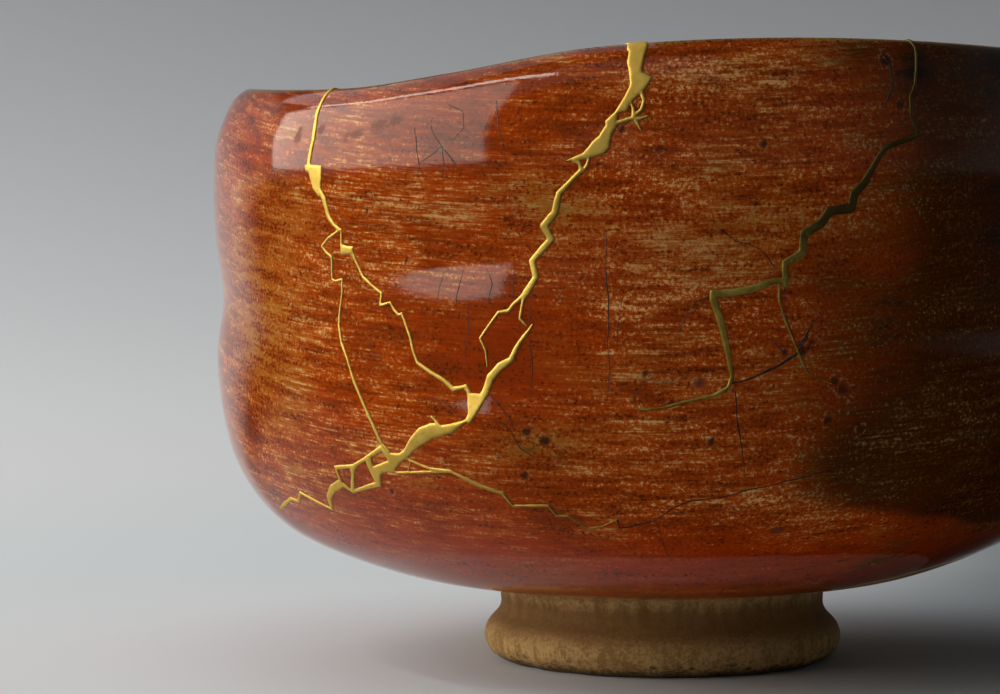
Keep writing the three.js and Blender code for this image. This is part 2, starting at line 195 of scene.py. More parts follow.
def surface(azimuth, v):
    """Points on the finished wall in mm."""
    azimuth, v = np.broadcast_arrays(np.asarray(azimuth, float), np.asarray(v, float))
    q = hermite(WALL, v)
    r, z = formed(azimuth, q[..., 0], q[..., 1])
    inward = np.where(v > CROWN + 1.0, -1.0, 1.0)
    fade = smooth(v / 4.0) * smooth((WALL_END - v) / 20.0) * (0.35 + 0.65 * smooth(np.abs(v - CROWN) / 6.0))
    r = r + inward * fade * relief(azimuth, r, z, np.ones_like(r))
    return to_xyz(azimuth, r, z)


def normals(azimuth, v, step=0.25):
    du = surface(azimuth + step, v) - surface(azimuth - step, v)
    dv = surface(azimuth, v + step) - surface(azimuth, v - step)
    n = np.cross(du, dv)
    return n / np.maximum(np.linalg.norm(n, axis=-1, keepdims=True), 1e-9)


# ---------------------------------------------------------------- mesh helpers
def make_mesh(name, points_mm, faces, uv=None, layers=None, vectors=None):
    me = bpy.data.meshes.new(name)
    me.from_pydata((np.asarray(points_mm, float) * MM).tolist(), [], faces)
    me.update()
    me.polygons.foreach_set("use_smooth", np.ones(len(me.polygons), bool))
    for key, values in (layers or {}).items():
        at = me.attributes.new(key, "FLOAT", "POINT")
        at.data.foreach_set("value", np.asarray(values, np.float32))
    for key, values in (vectors or {}).items():
        at = me.attributes.new(key, "FLOAT_VECTOR", "POINT")
        at.data.foreach_set("vector", np.asarray(values, np.float32).ravel())
    if uv is not None:
        layer = me.uv_layers.new(name="OFBake")
        layer.data.foreach_set("uv", np.asarray(uv, np.float32).ravel())
    ob = bpy.data.objects.new(name, me)
    bpy.context.scene.collection.objects.link(ob)
    return ob


# ---------------------------------------------------------------- the bowl's mesh
def columns():
    """Azimuths, closer together on the side that is seen."""
    step = lambda a: 0.52 + 0.62 * smooth((abs(wrap(a)) - 92) / 30)
    out = [-180.0]
    while out[-1] < 180:
        out.append(out[-1] + float(step(out[-1])))
    out = np.array(out)
    out = -180 + (out + 180) * 360 / (out[-1] + 180)
    return out[:-1]


def rows(start, end, spacing):
    out = [start]
    while out[-1] < end:
        out.append(out[-1] + spacing(out[-1]))
    out = np.array(out)
    return start + (out - start) * (end - start) / (out[-1] - start)


AZ = columns()
foot_rows = rows(0.6, FOOT_END, lambda s: 2.2 if s < 11 else (0.8 if s < 17 else 0.60))


def wall_spacing(v):
    if v < 8:
        return 0.9
    if v < CROWN - 5:
        return 1.04
    if v < CROWN + 5:
        return 0.58
    if v < CROWN + 45:
        return 2.0
    return 2.8


wall_rows = rows(1.0, WALL_END - 0.6, wall_spacing)
fq = hermite(FOOT, foot_rows)
FA, FR = np.meshgrid(AZ, fq[:, 0], indexing="xy")
_, FZ = np.meshgrid(AZ, fq[:, 1], indexing="xy")
fr, fz = formed(FA, FR, FZ)
fr = fr + smooth((foot_rows[:, None] - 12) / 4) * smooth((FOOT_END - foot_rows[:, None]) / 1.5) * relief(
    FA, fr, fz, np.zeros_like(fr)) * smooth((FZ + 0.2) / 1.2)
# the ring's lower edge is chipped here and there
for a, w, h, deep in [(-33, 2.0, 1.0, 0.5), (-12, 1.4, 0.8, 0.35), (6, 1.7, 0.7, 0.4), (21, 2.4, 1.1, 0.5),
                      (-52, 1.6, 0.8, 0.4), (44, 1.8, 0.9, 0.4), (71, 2.2, 1.0, 0.5), (-95, 2.6, 1.2, 0.6),
                      (140, 2.4, 1.0, 0.5), (-160, 2.0, 1.1, 0.5), (112, 1.6, 0.8, 0.4)]:
    fr = fr - deep * np.exp(-(wrap(FA - a) * 0.40 / w) ** 2 - ((fz - 0.5) / h) ** 2) * (FR > 20)
foot_xyz = to_xyz(FA, fr, fz)
WA, WV = np.meshgrid(AZ, wall_rows, indexing="xy")
wall_xyz = surface(WA, WV)
grid = np.concatenate([foot_xyz, wall_xyz], 0)
n_rows, n_cols = grid.shape[:2]
row_v = np.concatenate([foot_rows - FOOT_END, wall_rows])
low = np.array([[0, 0, FOOT[0][1]]])
top = np.array([[0, 0, float(formed(0.0, np.array(0.0), np.array(INSIDE[-1][1]))[1])]])
points = np.concatenate([grid.reshape(-1, 3), low, top], 0)
i, j = np.meshgrid(np.arange(n_rows - 1), np.arange(n_cols), indexing="ij")
k = (j + 1) % n_cols
quads = np.stack([i * n_cols + j, i * n_cols + k, (i + 1) * n_cols + k, (i + 1) * n_cols + j], -1).reshape(-1, 4)
LOW, TOP = n_rows * n_cols, n_rows * n_cols + 1
fan_low = [(LOW, (c + 1) % n_cols, c) for c in range(n_cols)]
base = (n_rows - 1) * n_cols
fan_top = [(TOP, base + c, base + (c + 1) % n_cols) for c in range(n_cols)]
# share of the texture by row: most for the outside
seg = np.linalg.norm(np.diff(grid[:, n_cols // 2], axis=0), axis=1)
weight = np.where(row_v[1:] < -8, 0.35, np.where(row_v[1:] < 0, 0.8, np.where(row_v[1:] < CROWN + 3, 1.0, 0.4)))
along = np.r_[0, np.cumsum(seg * weight)]
pole = 3.0
vv = (along + pole) / (along[-1] + 2 * pole)
uv_quads = np.stack([np.stack([j / n_cols, vv[i]], -1), np.stack([(j + 1) / n_cols, vv[i]], -1),
                     np.stack([(j + 1) / n_cols, vv[i + 1]], -1), np.stack([j / n_cols, vv[i + 1]], -1)], -2)
uv_quads = uv_quads.reshape(-1, 2)
c = np.arange(n_cols)
uv_low = np.stack([np.stack([(c + 0.5) / n_cols, 0 * c], -1), np.stack([(c + 1) / n_cols, vv[0] + 0 * c], -1),
                   np.stack([c / n_cols, vv[0] + 0 * c], -1)], 1).reshape(-1, 2)
uv_top = np.stack([np.stack([(c + 0.5) / n_cols, 1.0 + 0 * c], -1), np.stack([c / n_cols, vv[-1] + 0 * c], -1),
                   np.stack([(c + 1) / n_cols, vv[-1] + 0 * c], -1)], 1).reshape(-1, 2)

# ---- fields that the glaze material reads
P_AZ = np.concatenate([np.tile(AZ, n_rows), [0.0, 0.0]])
P_V = np.concatenate([np.repeat(row_v, n_cols), [-FOOT_END, WALL_END]])
X, Y, Z = points.T
outside = smooth((CROWN + 1.5 - P_V) / 3.0)


def spot(a, z, wa, wz, tilt=0.0):
    da = wrap(P_AZ - a)
    return np.exp(-(da / wa) ** 2 - ((Z - z - tilt * da) / wz) ** 2)


# the brush went round in shallow arcs: brush_z is constant along a stroke
brush_z = Z - 7.42 * (1 - np.cos(np.radians(P_AZ + 5.0)))
# the glaze ends near the crease on the left and middle, and higher up on the right and behind
GLAZE_EDGE = [(-180, 22), (-150, 16), (-120, 6.0), (-100, 2.6), (-60, 2.2), (-30, 2.4), (-5, 2.2), (15, 3.4),
              (32, 9.0), (46, 15.0), (60, 20), (90, 26), (120, 26), (150, 24)]
edge = P_V - around(GLAZE_EDGE, P_AZ) + 1.3 * cloud(X, Y, Z, 7.0, 71, 2)
edge = np.where(P_V < -0.5, -5.0, edge)
big = cloud(X, Y, brush_z * 1.7, 15.0, 31)
mid = cloud(X, Y, brush_z * 2.6, 6.5, 37)
bands = cloud(X * 0.16, Y * 0.16, brush_z, 2.6, 41, 2)
tone = 0.55 * big + 0.45 * mid + 0.40 * bands
# the fire's smoke lies on the right flank, above a red band under the hip
flank = np.interp(wrap(P_AZ), [-180, -150, -100, -30, -3, 14, 26, 36, 50, 95, 135, 180],
                  [0.45, 0.15, 0.0, 0.0, 0.02, 0.22, 0.66, 0.95, 1.15, 1.05, 0.65, 0.45])
hem = around([(-180, 20), (-60, 22), (0, 24), (15, 25), (25, 24.3), (30, 23.5), (37, 22.9), (42, 22.5), (50, 21.7), (90, 21),
              (140, 22)], P_AZ)
flank = flank - 0.20 * smooth((Z - 44) / 12) * smooth((34 - P_AZ) / 8) * smooth((P_AZ - 4) / 10)
smoke = flank * (0.42 * smooth((P_AZ - 24) / 12) + (1 - 0.42 * smooth((P_AZ - 24) / 12)) * smooth((Z - hem) / (1.6 + 8 * smooth((26 - P_AZ) / 14)) + 0.5 + 0.15 * mid))
smoke = (smoke + 0.30 * spot(-15, 31.0, 5, 2.6, -0.1) + 0.30 * spot(18, 53, 6, 5) + 0.20 * spot(0, 76, 2.5, 3)
         + 0.35 * spot(24, 83, 5, 4) + 0.30 * spot(22, 31, 7, 6) + 0.16 * mid + 0.08 * bands)
smoke = np.clip(smoke, -0.2, 1.3) * outside + (1 - outside) * np.clip(0.10 + 0.25 * big, 0, 1)
soot = (1.10 * spot(63, 60, 24, 14) + 0.45 * spot(48, 32, 14, 6) + 0.55 * spot(88, 42, 22, 10) + 0.45 * spot(31, 76, 3.5, 5) + 0.9 * spot(54, 79, 15, 6)
        + 0.5 * spot(100, 62, 22, 14) + 0.4 * spot(150, 66, 22, 9) + 0.36 * spot(27, 46, 4, 7) + 0.40 * spot(-15.5, 32.2, 3.4, 2.0, -0.1) + 0.30 * spot(14.6, 43.6, 3.0, 1.8, 0.1) + 0.30 * spot(21.4, 39, 2.5, 1.8)
        + 0.24 * spot(-0.5, 40.5, 4.5, 1.3, 0.1)
        + 0.28 * spot(7, 43, 5, 4) + 0.18 * mid + 0.16 * bands) * outside * smooth((Z - hem) / 1.6 + 0.5 + smooth((24 - P_AZ) / 10))
# where strokes show, and where the coat is only grainy
flow = np.clip(0.85 - 0.50 * smooth((P_AZ + 22) / 20) - 0.5 * spot(-66, 40, 14, 22) + 0.45 * mid, 0.12, 0.95)
ochre = np.clip(1.0 * spot(-60, 45, 12, 13) + 0.5 * spot(-52, 60, 7, 6) + 0.75 * spot(-14, 61.5, 5, 3)
                + 0.5 * spot(14, 58, 12, 5) + 0.7 * spot(-17, 32, 5, 2.5, -0.1) + 0.5 * spot(-10, 59, 5, 3) + 0.6 * spot(150, 50, 25, 14) + 0.4 * spot(-110, 60, 20, 10)
                + 0.9 * spot(-31.2, 27.2, 2.6, 0.8) + 0.6 * spot(-13, 33, 5, 2) + 0.35 * mid - 0.05, 0, 1)
maroon = np.clip(1.0 * spot(-19, 43, 9, 8) + 0.6 * spot(-6, 56, 9, 6) + 0.5 * spot(-23, 27, 9, 3)
                 + 0.4 * spot(-22, 61, 9, 4) + 0.5 * spot(-130, 35, 20, 12), 0, 1)
deep = smooth((25 - Z) / 8)
dens = (-0.22 + 1.5 * spot(6, 76, 9, 1.8) + 0.5 * spot(-8, 52, 6, 6) - 0.7 * spot(-14, 45, 6, 5) + 0.4 * spot(-1, 74, 7, 3) + 0.7 * spot(-36, 57, 11, 6) + 0.6 * spot(-48, 44, 12, 9)
        + 0.7 * spot(2, 54, 9, 9) + 0.9 * spot(36, 34, 10, 6) + 0.5 * spot(-33, 33, 10, 5) + 0.4 * spot(10, 33, 12, 5)
        - 1.5 * spot(-19, 43, 8, 7) - 0.9 * spot(-12, 72, 9, 4) - 0.6 * spot(-28, 72, 10, 4) - 0.35 * deep
        + 0.85 * mid + 0.75 * bands)
MARKS = [(-26.2, 79.7, 0.55), (11.3, 77.2, 0.5), (6.9, 68.4, 0.5), (-16.5, 71.6, 0.75), (-28.1, 48.8, 0.45),
         (-19.5, 44.5, 0.55), (-16.7, 42.2, 0.7), (-4.7, 79.2, 0.5), (-0.4, 76.9, 0.7), (-15.8, 47.5, 0.8),
         (-13.7, 46.4, 0.9), (27.3, 86.3, 0.9), (28.3, 81.3, 0.6), (-12.1, 44.7, 0.8), (4.2, 52.3, 0.6),
         (1.0, 50.2, 0.5), (20.0, 52.6, 0.6), (22.0, 51.0, 0.7), (17.3, 56.8, 0.6), (16.2, 55.4, 0.7),
         (9.2, 76.8, 0.4), (-37.0, 72.9, 0.5), (-35.9, 38.9, 0.5), (-20.2, 39.8, 0.5), (-11.8, 61.5, 0.4),
         (-41.7, 57.1, 0.45), (-49.2, 56.8, 0.4), (-0.4, 61.2, 0.4), (55, 70, 0.8), (80, 60, 0.9), (-75, 30, 0.6),
         (-110, 66, 0.7), (130, 45, 0.8), (-150, 52, 0.7), (175, 70, 0.8), (14.0, 55.3, 0.7), (21.1, 51.8, 0.9), (19.4, 48.3, 0.6), (23.6, 47.0, 0.7), (-2.0, 53.7, 0.6),
         (1.2, 52.9, 0.5), (5.6, 46.2, 0.5), (-9.8, 69.4, 0.35), (10.6, 71.0, 0.4), (-31.5, 66.8, 0.4), (-52.2, 63.0, 0.5)]
mark = np.zeros_like(Z)
for a, v, r in MARKS:
    mark = np.maximum(mark, np.exp(-((wrap(P_AZ - a) * PER_DEGREE / r) ** 2 + ((P_V - v) / (0.8 * r)) ** 2)))
# small places where the coat is dry and dark, without gloss
matte = np.zeros_like(Z)
for a, v, wa, wv in [(-38.9, 82.6, 1.3, 0.7), (-35.6, 83.0, 1.6, 0.8), (-33.2, 83.6, 1.2, 0.6), (-40.6, 82.0, 0.7, 0.6),
                     (-49.6, 82.6, 0.9, 1.1), (-45.4, 83.4, 0.7, 0.6), (4.2, 52.3, 0.8, 0.6), (15, 34, 1.0, 0.6),
                     (60, 70, 1.4, 0.8), (-95, 66, 1.4, 0.8), (150, 40, 1.6, 1.0)]:
    matte = np.maximum(matte, np.exp(-(wrap(P_AZ - a) / wa) ** 2 - ((P_V - v) / wv) ** 2))
craze = np.clip(1.0 * spot(-22, 48, 15, 14) + 0.9 * spot(-25, 70, 9, 5) + 0.6 * spot(-10, 32, 12, 6)
                + 0.5 * spot(8, 44, 14, 10) + 0.5 * spot(18, 66, 10, 8) + 0.3, 0, 1)
craze = craze * (0.55 + 0.45 * smooth(0.5 + mid))
rim = P_V - CROWN + 0.5 * mid

bowl = make_mesh("bowl_glazed", points, quads.tolist() + fan_low + fan_top,
                 uv=np.concatenate([uv_quads, uv_low, uv_top]), layers={"f_matte": matte},
                 vectors={"brush": np.stack([X, Y, brush_z], -1), "place": points,
                          "f_tone": np.stack([tone, dens, smoke], -1),
                          "f_hue": np.stack([ochre * outside, maroon * outside, deep * outside], -1),
                          "f_edge": np.stack([rim, edge, craze], -1),
                          "f_more": np.stack([flow, soot, mark], -1)})
print("bowl triangles", sum(len(p.vertices) - 2 for p in bowl.data.polygons))


# ---------------------------------------------------------------- materials: small helpers
def new_material(name):
    m = bpy.data.materials.new(name)
    m.use_nodes = True
    t = m.node_tree
    t.nodes.clear()
    out = t.nodes.new("ShaderNodeOutputMaterial")
    sh = t.nodes.new("ShaderNodeBsdfPrincipled")
    t.links.new(sh.outputs[0], out.inputs[0])
    return m, t, sh


class Nodes:
    def __init__(self, tree):
        self.t = tree

    def put(self, socket, value):
        if value is None:
            return
        if isinstance(value, bpy.types.NodeSocket):
            self.t.links.new(value, socket)
        elif isinstance(value, (int, float)):
            socket.default_value = value
        else:
            value = tuple(value)
            if len(value) == 3 and socket.type == "RGBA":
                value = value + (1.0,)
            socket.default_value = value

    def attr(self, name, vector=False):
        n = self.t.nodes.new("ShaderNodeAttribute")
        n.attribute_name = name
        return n.outputs["Vector" if vector else "Fac"]

    def split(self, vector):
        n = self.t.nodes.new("ShaderNodeSeparateXYZ")
        self.put(n.inputs[0], vector)
        return n.outputs[0], n.outputs[1], n.outputs[2]

    def math(self, op, a, b=None, c=None, clamp=False):
        n = self.t.nodes.new("ShaderNodeMath")
        n.operation = op
        n.use_clamp = clamp
        for s, v in zip(n.inputs, (a, b, c)):
            self.put(s, v)
        return n.outputs[0]

    def add(self, a, b):
        return self.math("ADD", a, b)

    def sub(self, a, b):
        return self.math("SUBTRACT", a, b)

    def mul(self, a, b, clamp=False):
        return self.math("MULTIPLY", a, b, clamp=clamp)

    def mad(self, a, b, c, clamp=False):
        return self.math("MULTIPLY_ADD", a, b, c, clamp=clamp)

    def scaled(self, v, by, shift=(0, 0, 0)):
        n = self.t.nodes.new("ShaderNodeVectorMath")
        n.operation = "MULTIPLY_ADD"
        self.put(n.inputs[0], v)
        n.inputs[1].default_value = by
        n.inputs[2].default_value = shift
        return n.outputs[0]

    def noise(self, v, detail=2.0, rough=0.55, bend=0.0):
        n = self.t.nodes.new("ShaderNodeTexNoise")
        self.put(n.inputs["Vector"], v)
        n.inputs["Scale"].default_value = 1.0
        n.inputs["Detail"].default_value = detail
        n.inputs["Roughness"].default_value = rough
        n.inputs["Distortion"].default_value = bend
        return n.outputs["Fac"]

    def cells(self, v, feature="F1", rand=1.0):
        n = self.t.nodes.new("ShaderNodeTexVoronoi")
        n.feature = feature
        self.put(n.inputs["Vector"], v)
        n.inputs["Scale"].default_value = 1.0
        n.inputs["Randomness"].default_value = rand
        return n

    def ramp(self, value, lo, hi, to_lo=0.0, to_hi=1.0):
        n = self.t.nodes.new("ShaderNodeMapRange")
        n.interpolation_type = "SMOOTHSTEP"
        self.put(n.inputs["Value"], value)
        self.put(n.inputs["From Min"], lo)
        self.put(n.inputs["From Max"], hi)
        self.put(n.inputs["To Min"], to_lo)
        self.put(n.inputs["To Max"], to_hi)
        return n.outputs["Result"]

    def mix(self, fac, a, b, blend="MIX"):
        n = self.t.nodes.new("ShaderNodeMix")
        n.data_type = "RGBA"
        n.blend_type = blend
        n.clamp_factor = True
        self.put(n.inputs[0], fac)
        self.put(n.inputs[6], a)
        self.put(n.inputs[7], b)
        return n.outputs[2]

    def blend(self, fac, a, b):
        n = self.t.nodes.new("ShaderNodeMix")
        n.data_type = "FLOAT"
        self.put(n.inputs[0], fac)
        self.put(n.inputs[2], a)
        self.put(n.inputs[3], b)
        return n.outputs[0]

    def shades(self, value, stops):
        n = self.t.nodes.new("ShaderNodeValToRGB")
        e = n.color_ramp.elements
        while len(e) < len(stops):
            e.new(0.5)
        for k, (at, colour) in enumerate(stops):
            e[k].position = at
            e[k].color = tuple(colour) + (1.0,)
        self.put(n.inputs[0], value)
        return n.outputs[0]

    def bump(self, height, strength, distance, normal=None):
        n = self.t.nodes.new("ShaderNodeBump")
        n.inputs["Strength"].default_value = strength
        n.inputs["Distance"].default_value = distance
        self.put(n.inputs["Height"], height)
        self.put(n.inputs["Normal"], normal)
        return n.outputs[0]


# ---------------------------------------------------------------- glaze and clay
def glaze_nodes(N):
    """Brushed red glaze: colour, roughness and height."""
    brush, place = N.attr("brush", True), N.attr("place", True)
    f_tone, f_dens, f_smoke = N.split(N.attr("f_tone", True))
    f_ochre, f_maroon, f_deep = N.split(N.attr("f_hue", True))
    f_rim, _, f_craze = N.split(N.attr("f_edge", True))
    f_flow, f_soot, f_mark = N.split(N.attr("f_more", True))
    dash = N.noise(N.scaled(brush, (0.42, 0.42, 2.9), (1, 5, 8)), 2.0, 0.62)
    strand = N.noise(N.scaled(brush, (0.06, 0.06, 3.4), (9, 9, 2)), 2.0, 0.66)
    grain = N.noise(N.scaled(place, (2.3, 2.3, 2.5), (3, 1, 2)), 2.0, 0.72)
    under = N.noise(N.scaled(brush, (0.14, 0.14, 0.85), (11, 2, 5)), 3.0, 0.68)

    # the brushed coat, from bare dark red over orange to cream where it is rubbed through
    line = N.mad(dash, 0.55, N.mul(strand, 0.45))
    soft = N.mad(under, 0.42, N.mul(grain, 0.58))
    s = N.blend(f_flow, soft, line)
    s = N.mad(s, 1.12, N.mad(under, 0.12, N.mad(grain, 0.20, -0.22)))
    busy = N.ramp(N.mad(f_dens, 0.12, N.mad(f_smoke, -0.10, N.mad(f_deep, -0.08, grain))), 0.36, 0.62, 0.55, 1.20)
    s = N.mad(N.sub(s, 0.50), busy, 0.50)
    s = N.mad(f_dens, 0.046, N.mad(s, 0.92, 0.034))
    warm = N.shades(s, [(0.36, (0.225, 0.0210, 0.0006)), (0.455, (0.365, 0.0430, 0.0015)), (0.520, (0.450, 0.0820, 0.0095)),
                        (0.580, (0.570, 0.1850, 0.0430)), (0.665, (0.820, 0.4500, 0.1600))])
    burnt = N.shades(s, [(0.36, (0.024, 0.0060, 0.0008)), (0.455, (0.056, 0.0140, 0.0015)), (0.520, (0.078, 0.0230, 0.0030)),
                         (0.590, (0.120, 0.0480, 0.0120)), (0.690, (0.270, 0.1500, 0.0550))])
    shade = N.mad(f_tone, 0.20, N.mad(under, 2.2, -0.10))
    warm = N.mix(N.ramp(shade, 0.55, 1.35, 0.62, 0.0), warm, (0.150, 0.0300, 0.0060))
    warm = N.mix(N.mul(f_maroon, 0.62), warm, (0.285, 0.0330, 0.0040))
    warm = N.mix(N.mul(f_deep, 0.55), warm, (0.440, 0.0330, 0.0008))
    och = N.mul(f_ochre, N.ramp(N.add(N.mul(under, 0.5), N.mul(grain, 0.5)), 0.44, 0.55))
    warm = N.mix(N.mul(och, 0.82), warm, (0.330, 0.150, 0.022))

    # smoke, brown at first, then black
    sm = N.add(f_smoke, N.add(N.mad(under, 1.0, -0.50), N.mad(grain, 0.6, -0.30)))
    col = N.mix(N.ramp(sm, 0.12, 0.88), warm, burnt)
    soot = N.ramp(N.add(f_soot, N.add(N.mad(under, 0.9, -0.45), N.mad(line, 1.0, -0.5))), 0.30, 0.80)
    col = N.mix(N.mul(soot, 0.93), col, (0.0150, 0.0100, 0.0070))

    # grit, crazing, pits
    dark = N.ramp(N.mad(under, 0.35, N.mad(grain, 0.65, N.mul(dash, -0.20))), 0.335, 0.270)
    col = N.mix(N.mul(dark, 0.70), col, (0.050, 0.0130, 0.0045))
    crack_fac = N.mul(N.ramp(N.math("ABSOLUTE", N.sub(grain, 0.5)), 0.010, 0.002), N.mul(f_craze, N.ramp(dash, 0.46, 0.52)))
    col = N.mix(N.mul(crack_fac, 0.45), col, (0.035, 0.011, 0.005))
    m = N.ramp(N.mad(grain, 0.9, N.sub(f_mark, 0.45)), 0.42, 0.70)
    col = N.mix(N.mul(m, 0.88), col, (0.026, 0.017, 0.010))
    ring = N.mul(N.ramp(N.math("ABSOLUTE", N.sub(f_mark, 0.28)), 0.16, 0.02), N.ramp(grain, 0.48, 0.60))
    col = N.mix(N.mul(ring, 0.45), col, (0.30, 0.22, 0.10))

    # thin ochre line where the glaze thins on the lip
    rim = N.mul(N.ramp(N.math("ABSOLUTE", f_rim), 1.15, 0.45), N.ramp(grain, 0.36, 0.54))
    col = N.mix(N.mul(rim, 0.85), col, (0.30, 0.165, 0.030))
    dry = N.ramp(N.mad(grain, 1.4, N.attr("f_matte")), 1.06, 1.22)
    col = N.mix(N.mul(dry, 0.75), col, (0.170, 0.0260, 0.0050))
    rough = N.mad(dry, 0.40, N.mad(N.ramp(s, 0.50, 0.64), 0.07, 0.065))
    return col, rough, N.mad(grain, 0.6, N.mul(strand, 0.4))


def clay_nodes(N):
    """Bare buff clay of the foot: colour, roughness and height."""
    place = N.attr("place", True)
    _, _, z = N.split(place)
    f_tone, _, _ = N.split(N.attr("f_tone", True))
    upright = N.noise(N.scaled(place, (0.75, 0.75, 0.16), (4, 2, 1)), 3.0, 0.6)
    turned = N.noise(N.scaled(place, (0.10, 0.10, 1.6), (2, 2, 9)), 2.0, 0.6)
    grain = N.noise(N.scaled(place, (2.2, 2.2, 2.2), (3, 1, 2)), 3.0, 0.7)
    col = N.mix(N.ramp(N.add(N.mul(upright, 0.5), N.mul(grain, 0.5)), 0.42, 0.59), (0.335, 0.180, 0.055), (0.58, 0.355, 0.134))
    wave = N.mad(upright, 3.4, N.mad(f_tone, 0.8, -1.7))
    stain = N.mul(N.ramp(N.add(z, wave), 3.6, 6.2), N.ramp(N.add(z, N.mul(wave, 0.6)), 9.6, 7.8))
    col = N.mix(N.mul(stain, 0.80), col, (0.205, 0.088, 0.020))
    col = N.mix(N.mul(N.ramp(turned, 0.55, 0.68), 0.30), col, (0.27, 0.160, 0.065))
    # painted contact shadow: the clay darkens over its lowest 1.5 mm, where the foot stands on the floor
    low = N.ramp(N.add(z, N.mad(grain, 2.0, -1.0)), 1.5, 0.3)
    col = N.mix(N.mul(low, 0.85), col, (0.075, 0.040, 0.018))
    pit = N.cells(N.scaled(place, (0.55, 0.55, 0.85), (3, 8, 1)))
    pit_fac = N.mul(N.ramp(pit.outputs["Distance"], 0.32, 0.18), N.mul(N.ramp(z, 3.2, 1.0), N.ramp(upright, 0.42, 0.50)))
    col = N.mix(N.mul(pit_fac, 0.85), col, (0.045, 0.026, 0.014))
    height = N.add(N.mul(grain, 1.2), N.add(N.mul(turned, 1.6), N.mul(upright, 1.0)))
    return col, 0.85, height


def glaze_material():
    m, t, sh = new_material("red_glaze")
    N = Nodes(t)
    col, rough, height = glaze_nodes(N)
    N.put(sh.inputs["Base Color"], col)
    N.put(sh.inputs["Roughness"], rough)
    sh.inputs["IOR"].default_value = 1.41
    N.put(sh.inputs["Normal"], N.bump(height, 0.22, 0.00004))
    return m


def clay_material():
    m, t, sh = new_material("bare_clay")
    N = Nodes(t)
    col, rough, height = clay_nodes(N)
    N.put(sh.inputs["Base Color"], col)
    sh.inputs["Roughness"].default_value = rough
    sh.inputs["Specular IOR Level"].default_value = 0.3
    N.put(sh.inputs["Normal"], N.bump(height, 0.35, 0.00010))
    return m


def border_material():
    """Where the glaze ends on the clay, with the glaze a little thicker and darker along its edge."""
    m, t, sh = new_material("glaze_border")
    N = Nodes(t)
    _, f_edge, _ = N.split(N.attr("f_edge", True))
    place = N.attr("place", True)
    jag = N.noise(N.scaled(place, (0.9, 0.9, 0.9), (4, 4, 4)), 3.0, 0.6)
    e = N.add(f_edge, N.mad(jag, 1.6, -0.8))
    glazed = N.ramp(e, -0.05, 0.10)
    g_col, g_rough, g_height = glaze_nodes(N)
    c_col, c_rough, c_height = clay_nodes(N)
    g_col = N.mix(N.mul(N.ramp(e, 0.75, 0.1), 0.55), g_col, (0.075, 0.020, 0.006))
    c_col = N.mix(N.ramp(e, -1.3, -0.2), c_col, (0.78, 0.560, 0.270))
    N.put(sh.inputs["Base Color"], N.mix(glazed, c_col, g_col))
    N.put(sh.inputs["Roughness"], N.blend(glazed, c_rough, g_rough))
    N.put(sh.inputs["Normal"], N.bump(N.blend(glazed, c_height, N.add(g_height, 3.0)), 0.3, 0.00008))
    return m


for made in (glaze_material(), clay_material(), border_material()):
    bowl.data.materials.append(made)
loops_per = np.array([len(p.vertices) for p in bowl.data.polygons])
first = np.r_[0, np.cumsum(loops_per)[:-1]]
corner = np.empty(int(loops_per.sum()), np.int32)
bowl.data.loops.foreach_get("vertex_index", corner)
e_at = edge[corner]
e_low, e_high = np.minimum.reduceat(e_at, first), np.maximum.reduceat(e_at, first)
bowl.data.polygons.foreach_set("material_index", np.where(e_low > 1.0, 0, np.where(e_high < -1.6, 1, 2)).astype(np.int32))
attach(bowl, "root")
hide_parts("bowl")

# ---------------------------------------------------------------- gold seams
# each run is a list of (azimuth, v, width)
def line(points, widths):
    """Points with a width; widths is one number, or pairs of (share of the length, width)."""
    p = np.array(points, float)
    q = p * [PER_DEGREE, 1.0]
    s = np.r_[0, np.cumsum(np.hypot(*np.diff(q, axis=0).T))]
    s = s / s[-1]
    if isinstance(widths, (int, float)):
        w = np.full(len(p), float(widths))
    else:
        w = np.interp(s, [a for a, _ in widths], [b for _, b in widths])
    return [(a, b, c) for (a, b), c in zip(points, w)]


def mirrored(run, offset=0.0):
    """The same crack on the inside of the wall."""
    return [(a + offset, 2 * CROWN - 0.3 - v, w) for a, v, w in run]


A = [(-47.9, 90.2), (-47.7, 88.6), (-47.4, 86.9), (-47.3, 85.4), (-46.8, 83.8), (-46.4, 82.0), (-46.6, 80.0), (-46.7, 78.7),
     (-45.1, 76.5), (-43.9, 74.8), (-43.6, 73.9), (-43.2, 72.6), (-42.4, 71.6), (-41.4, 71.0)]
A1 = [(-41.4, 71.0), (-43.5, 70.0), (-44.7, 69.0), (-44.0, 68.3), (-43.1, 67.7), (-43.1, 66.0), (-43.1, 65.0), (-42.5, 64.8),
      (-41.4, 65.0), (-41.4, 63.4), (-41.8, 61.3), (-42.0, 59.5), (-41.5, 57.4), (-40.4, 55.3), (-39.4, 52.7),
      (-38.1, 50.1), (-36.7, 47.3), (-35.7, 45.2), (-34.8, 44.3)]
A2 = [(-41.2, 71.0), (-41.3, 68.2), (-39.6, 68.3), (-39.2, 67.3), (-38.0, 65.2), (-36.3, 64.0), (-35.1, 63.2),
      (-35.3, 61.8), (-33.8, 62.1), (-33.2, 61.2), (-32.5, 60.6), (-32.1, 60.8), (-31.6, 59.7), (-30.9, 58.1),
      (-30.3, 56.1), (-29.8, 55.0), (-28.0, 53.9), (-26.2, 53.0), (-25.0, 52.0), (-23.4, 52.3), (-23.0, 51.7)]
B = [(-9.2, 75.3), (-10.9, 73.8), (-11.9, 72.9), (-12.4, 70.9), (-13.7, 69.6), (-12.9, 68.1), (-14.4, 66.7),
     (-15.2, 65.9), (-14.7, 64.1), (-15.9, 62.4)]
B1 = [(-15.9, 62.4), (-17.4, 61.3), (-18.0, 60.6), (-19.2, 60.5), (-20.5, 59.0), (-21.5, 57.7), (-20.8, 56.3), (-20.6, 54.5)]
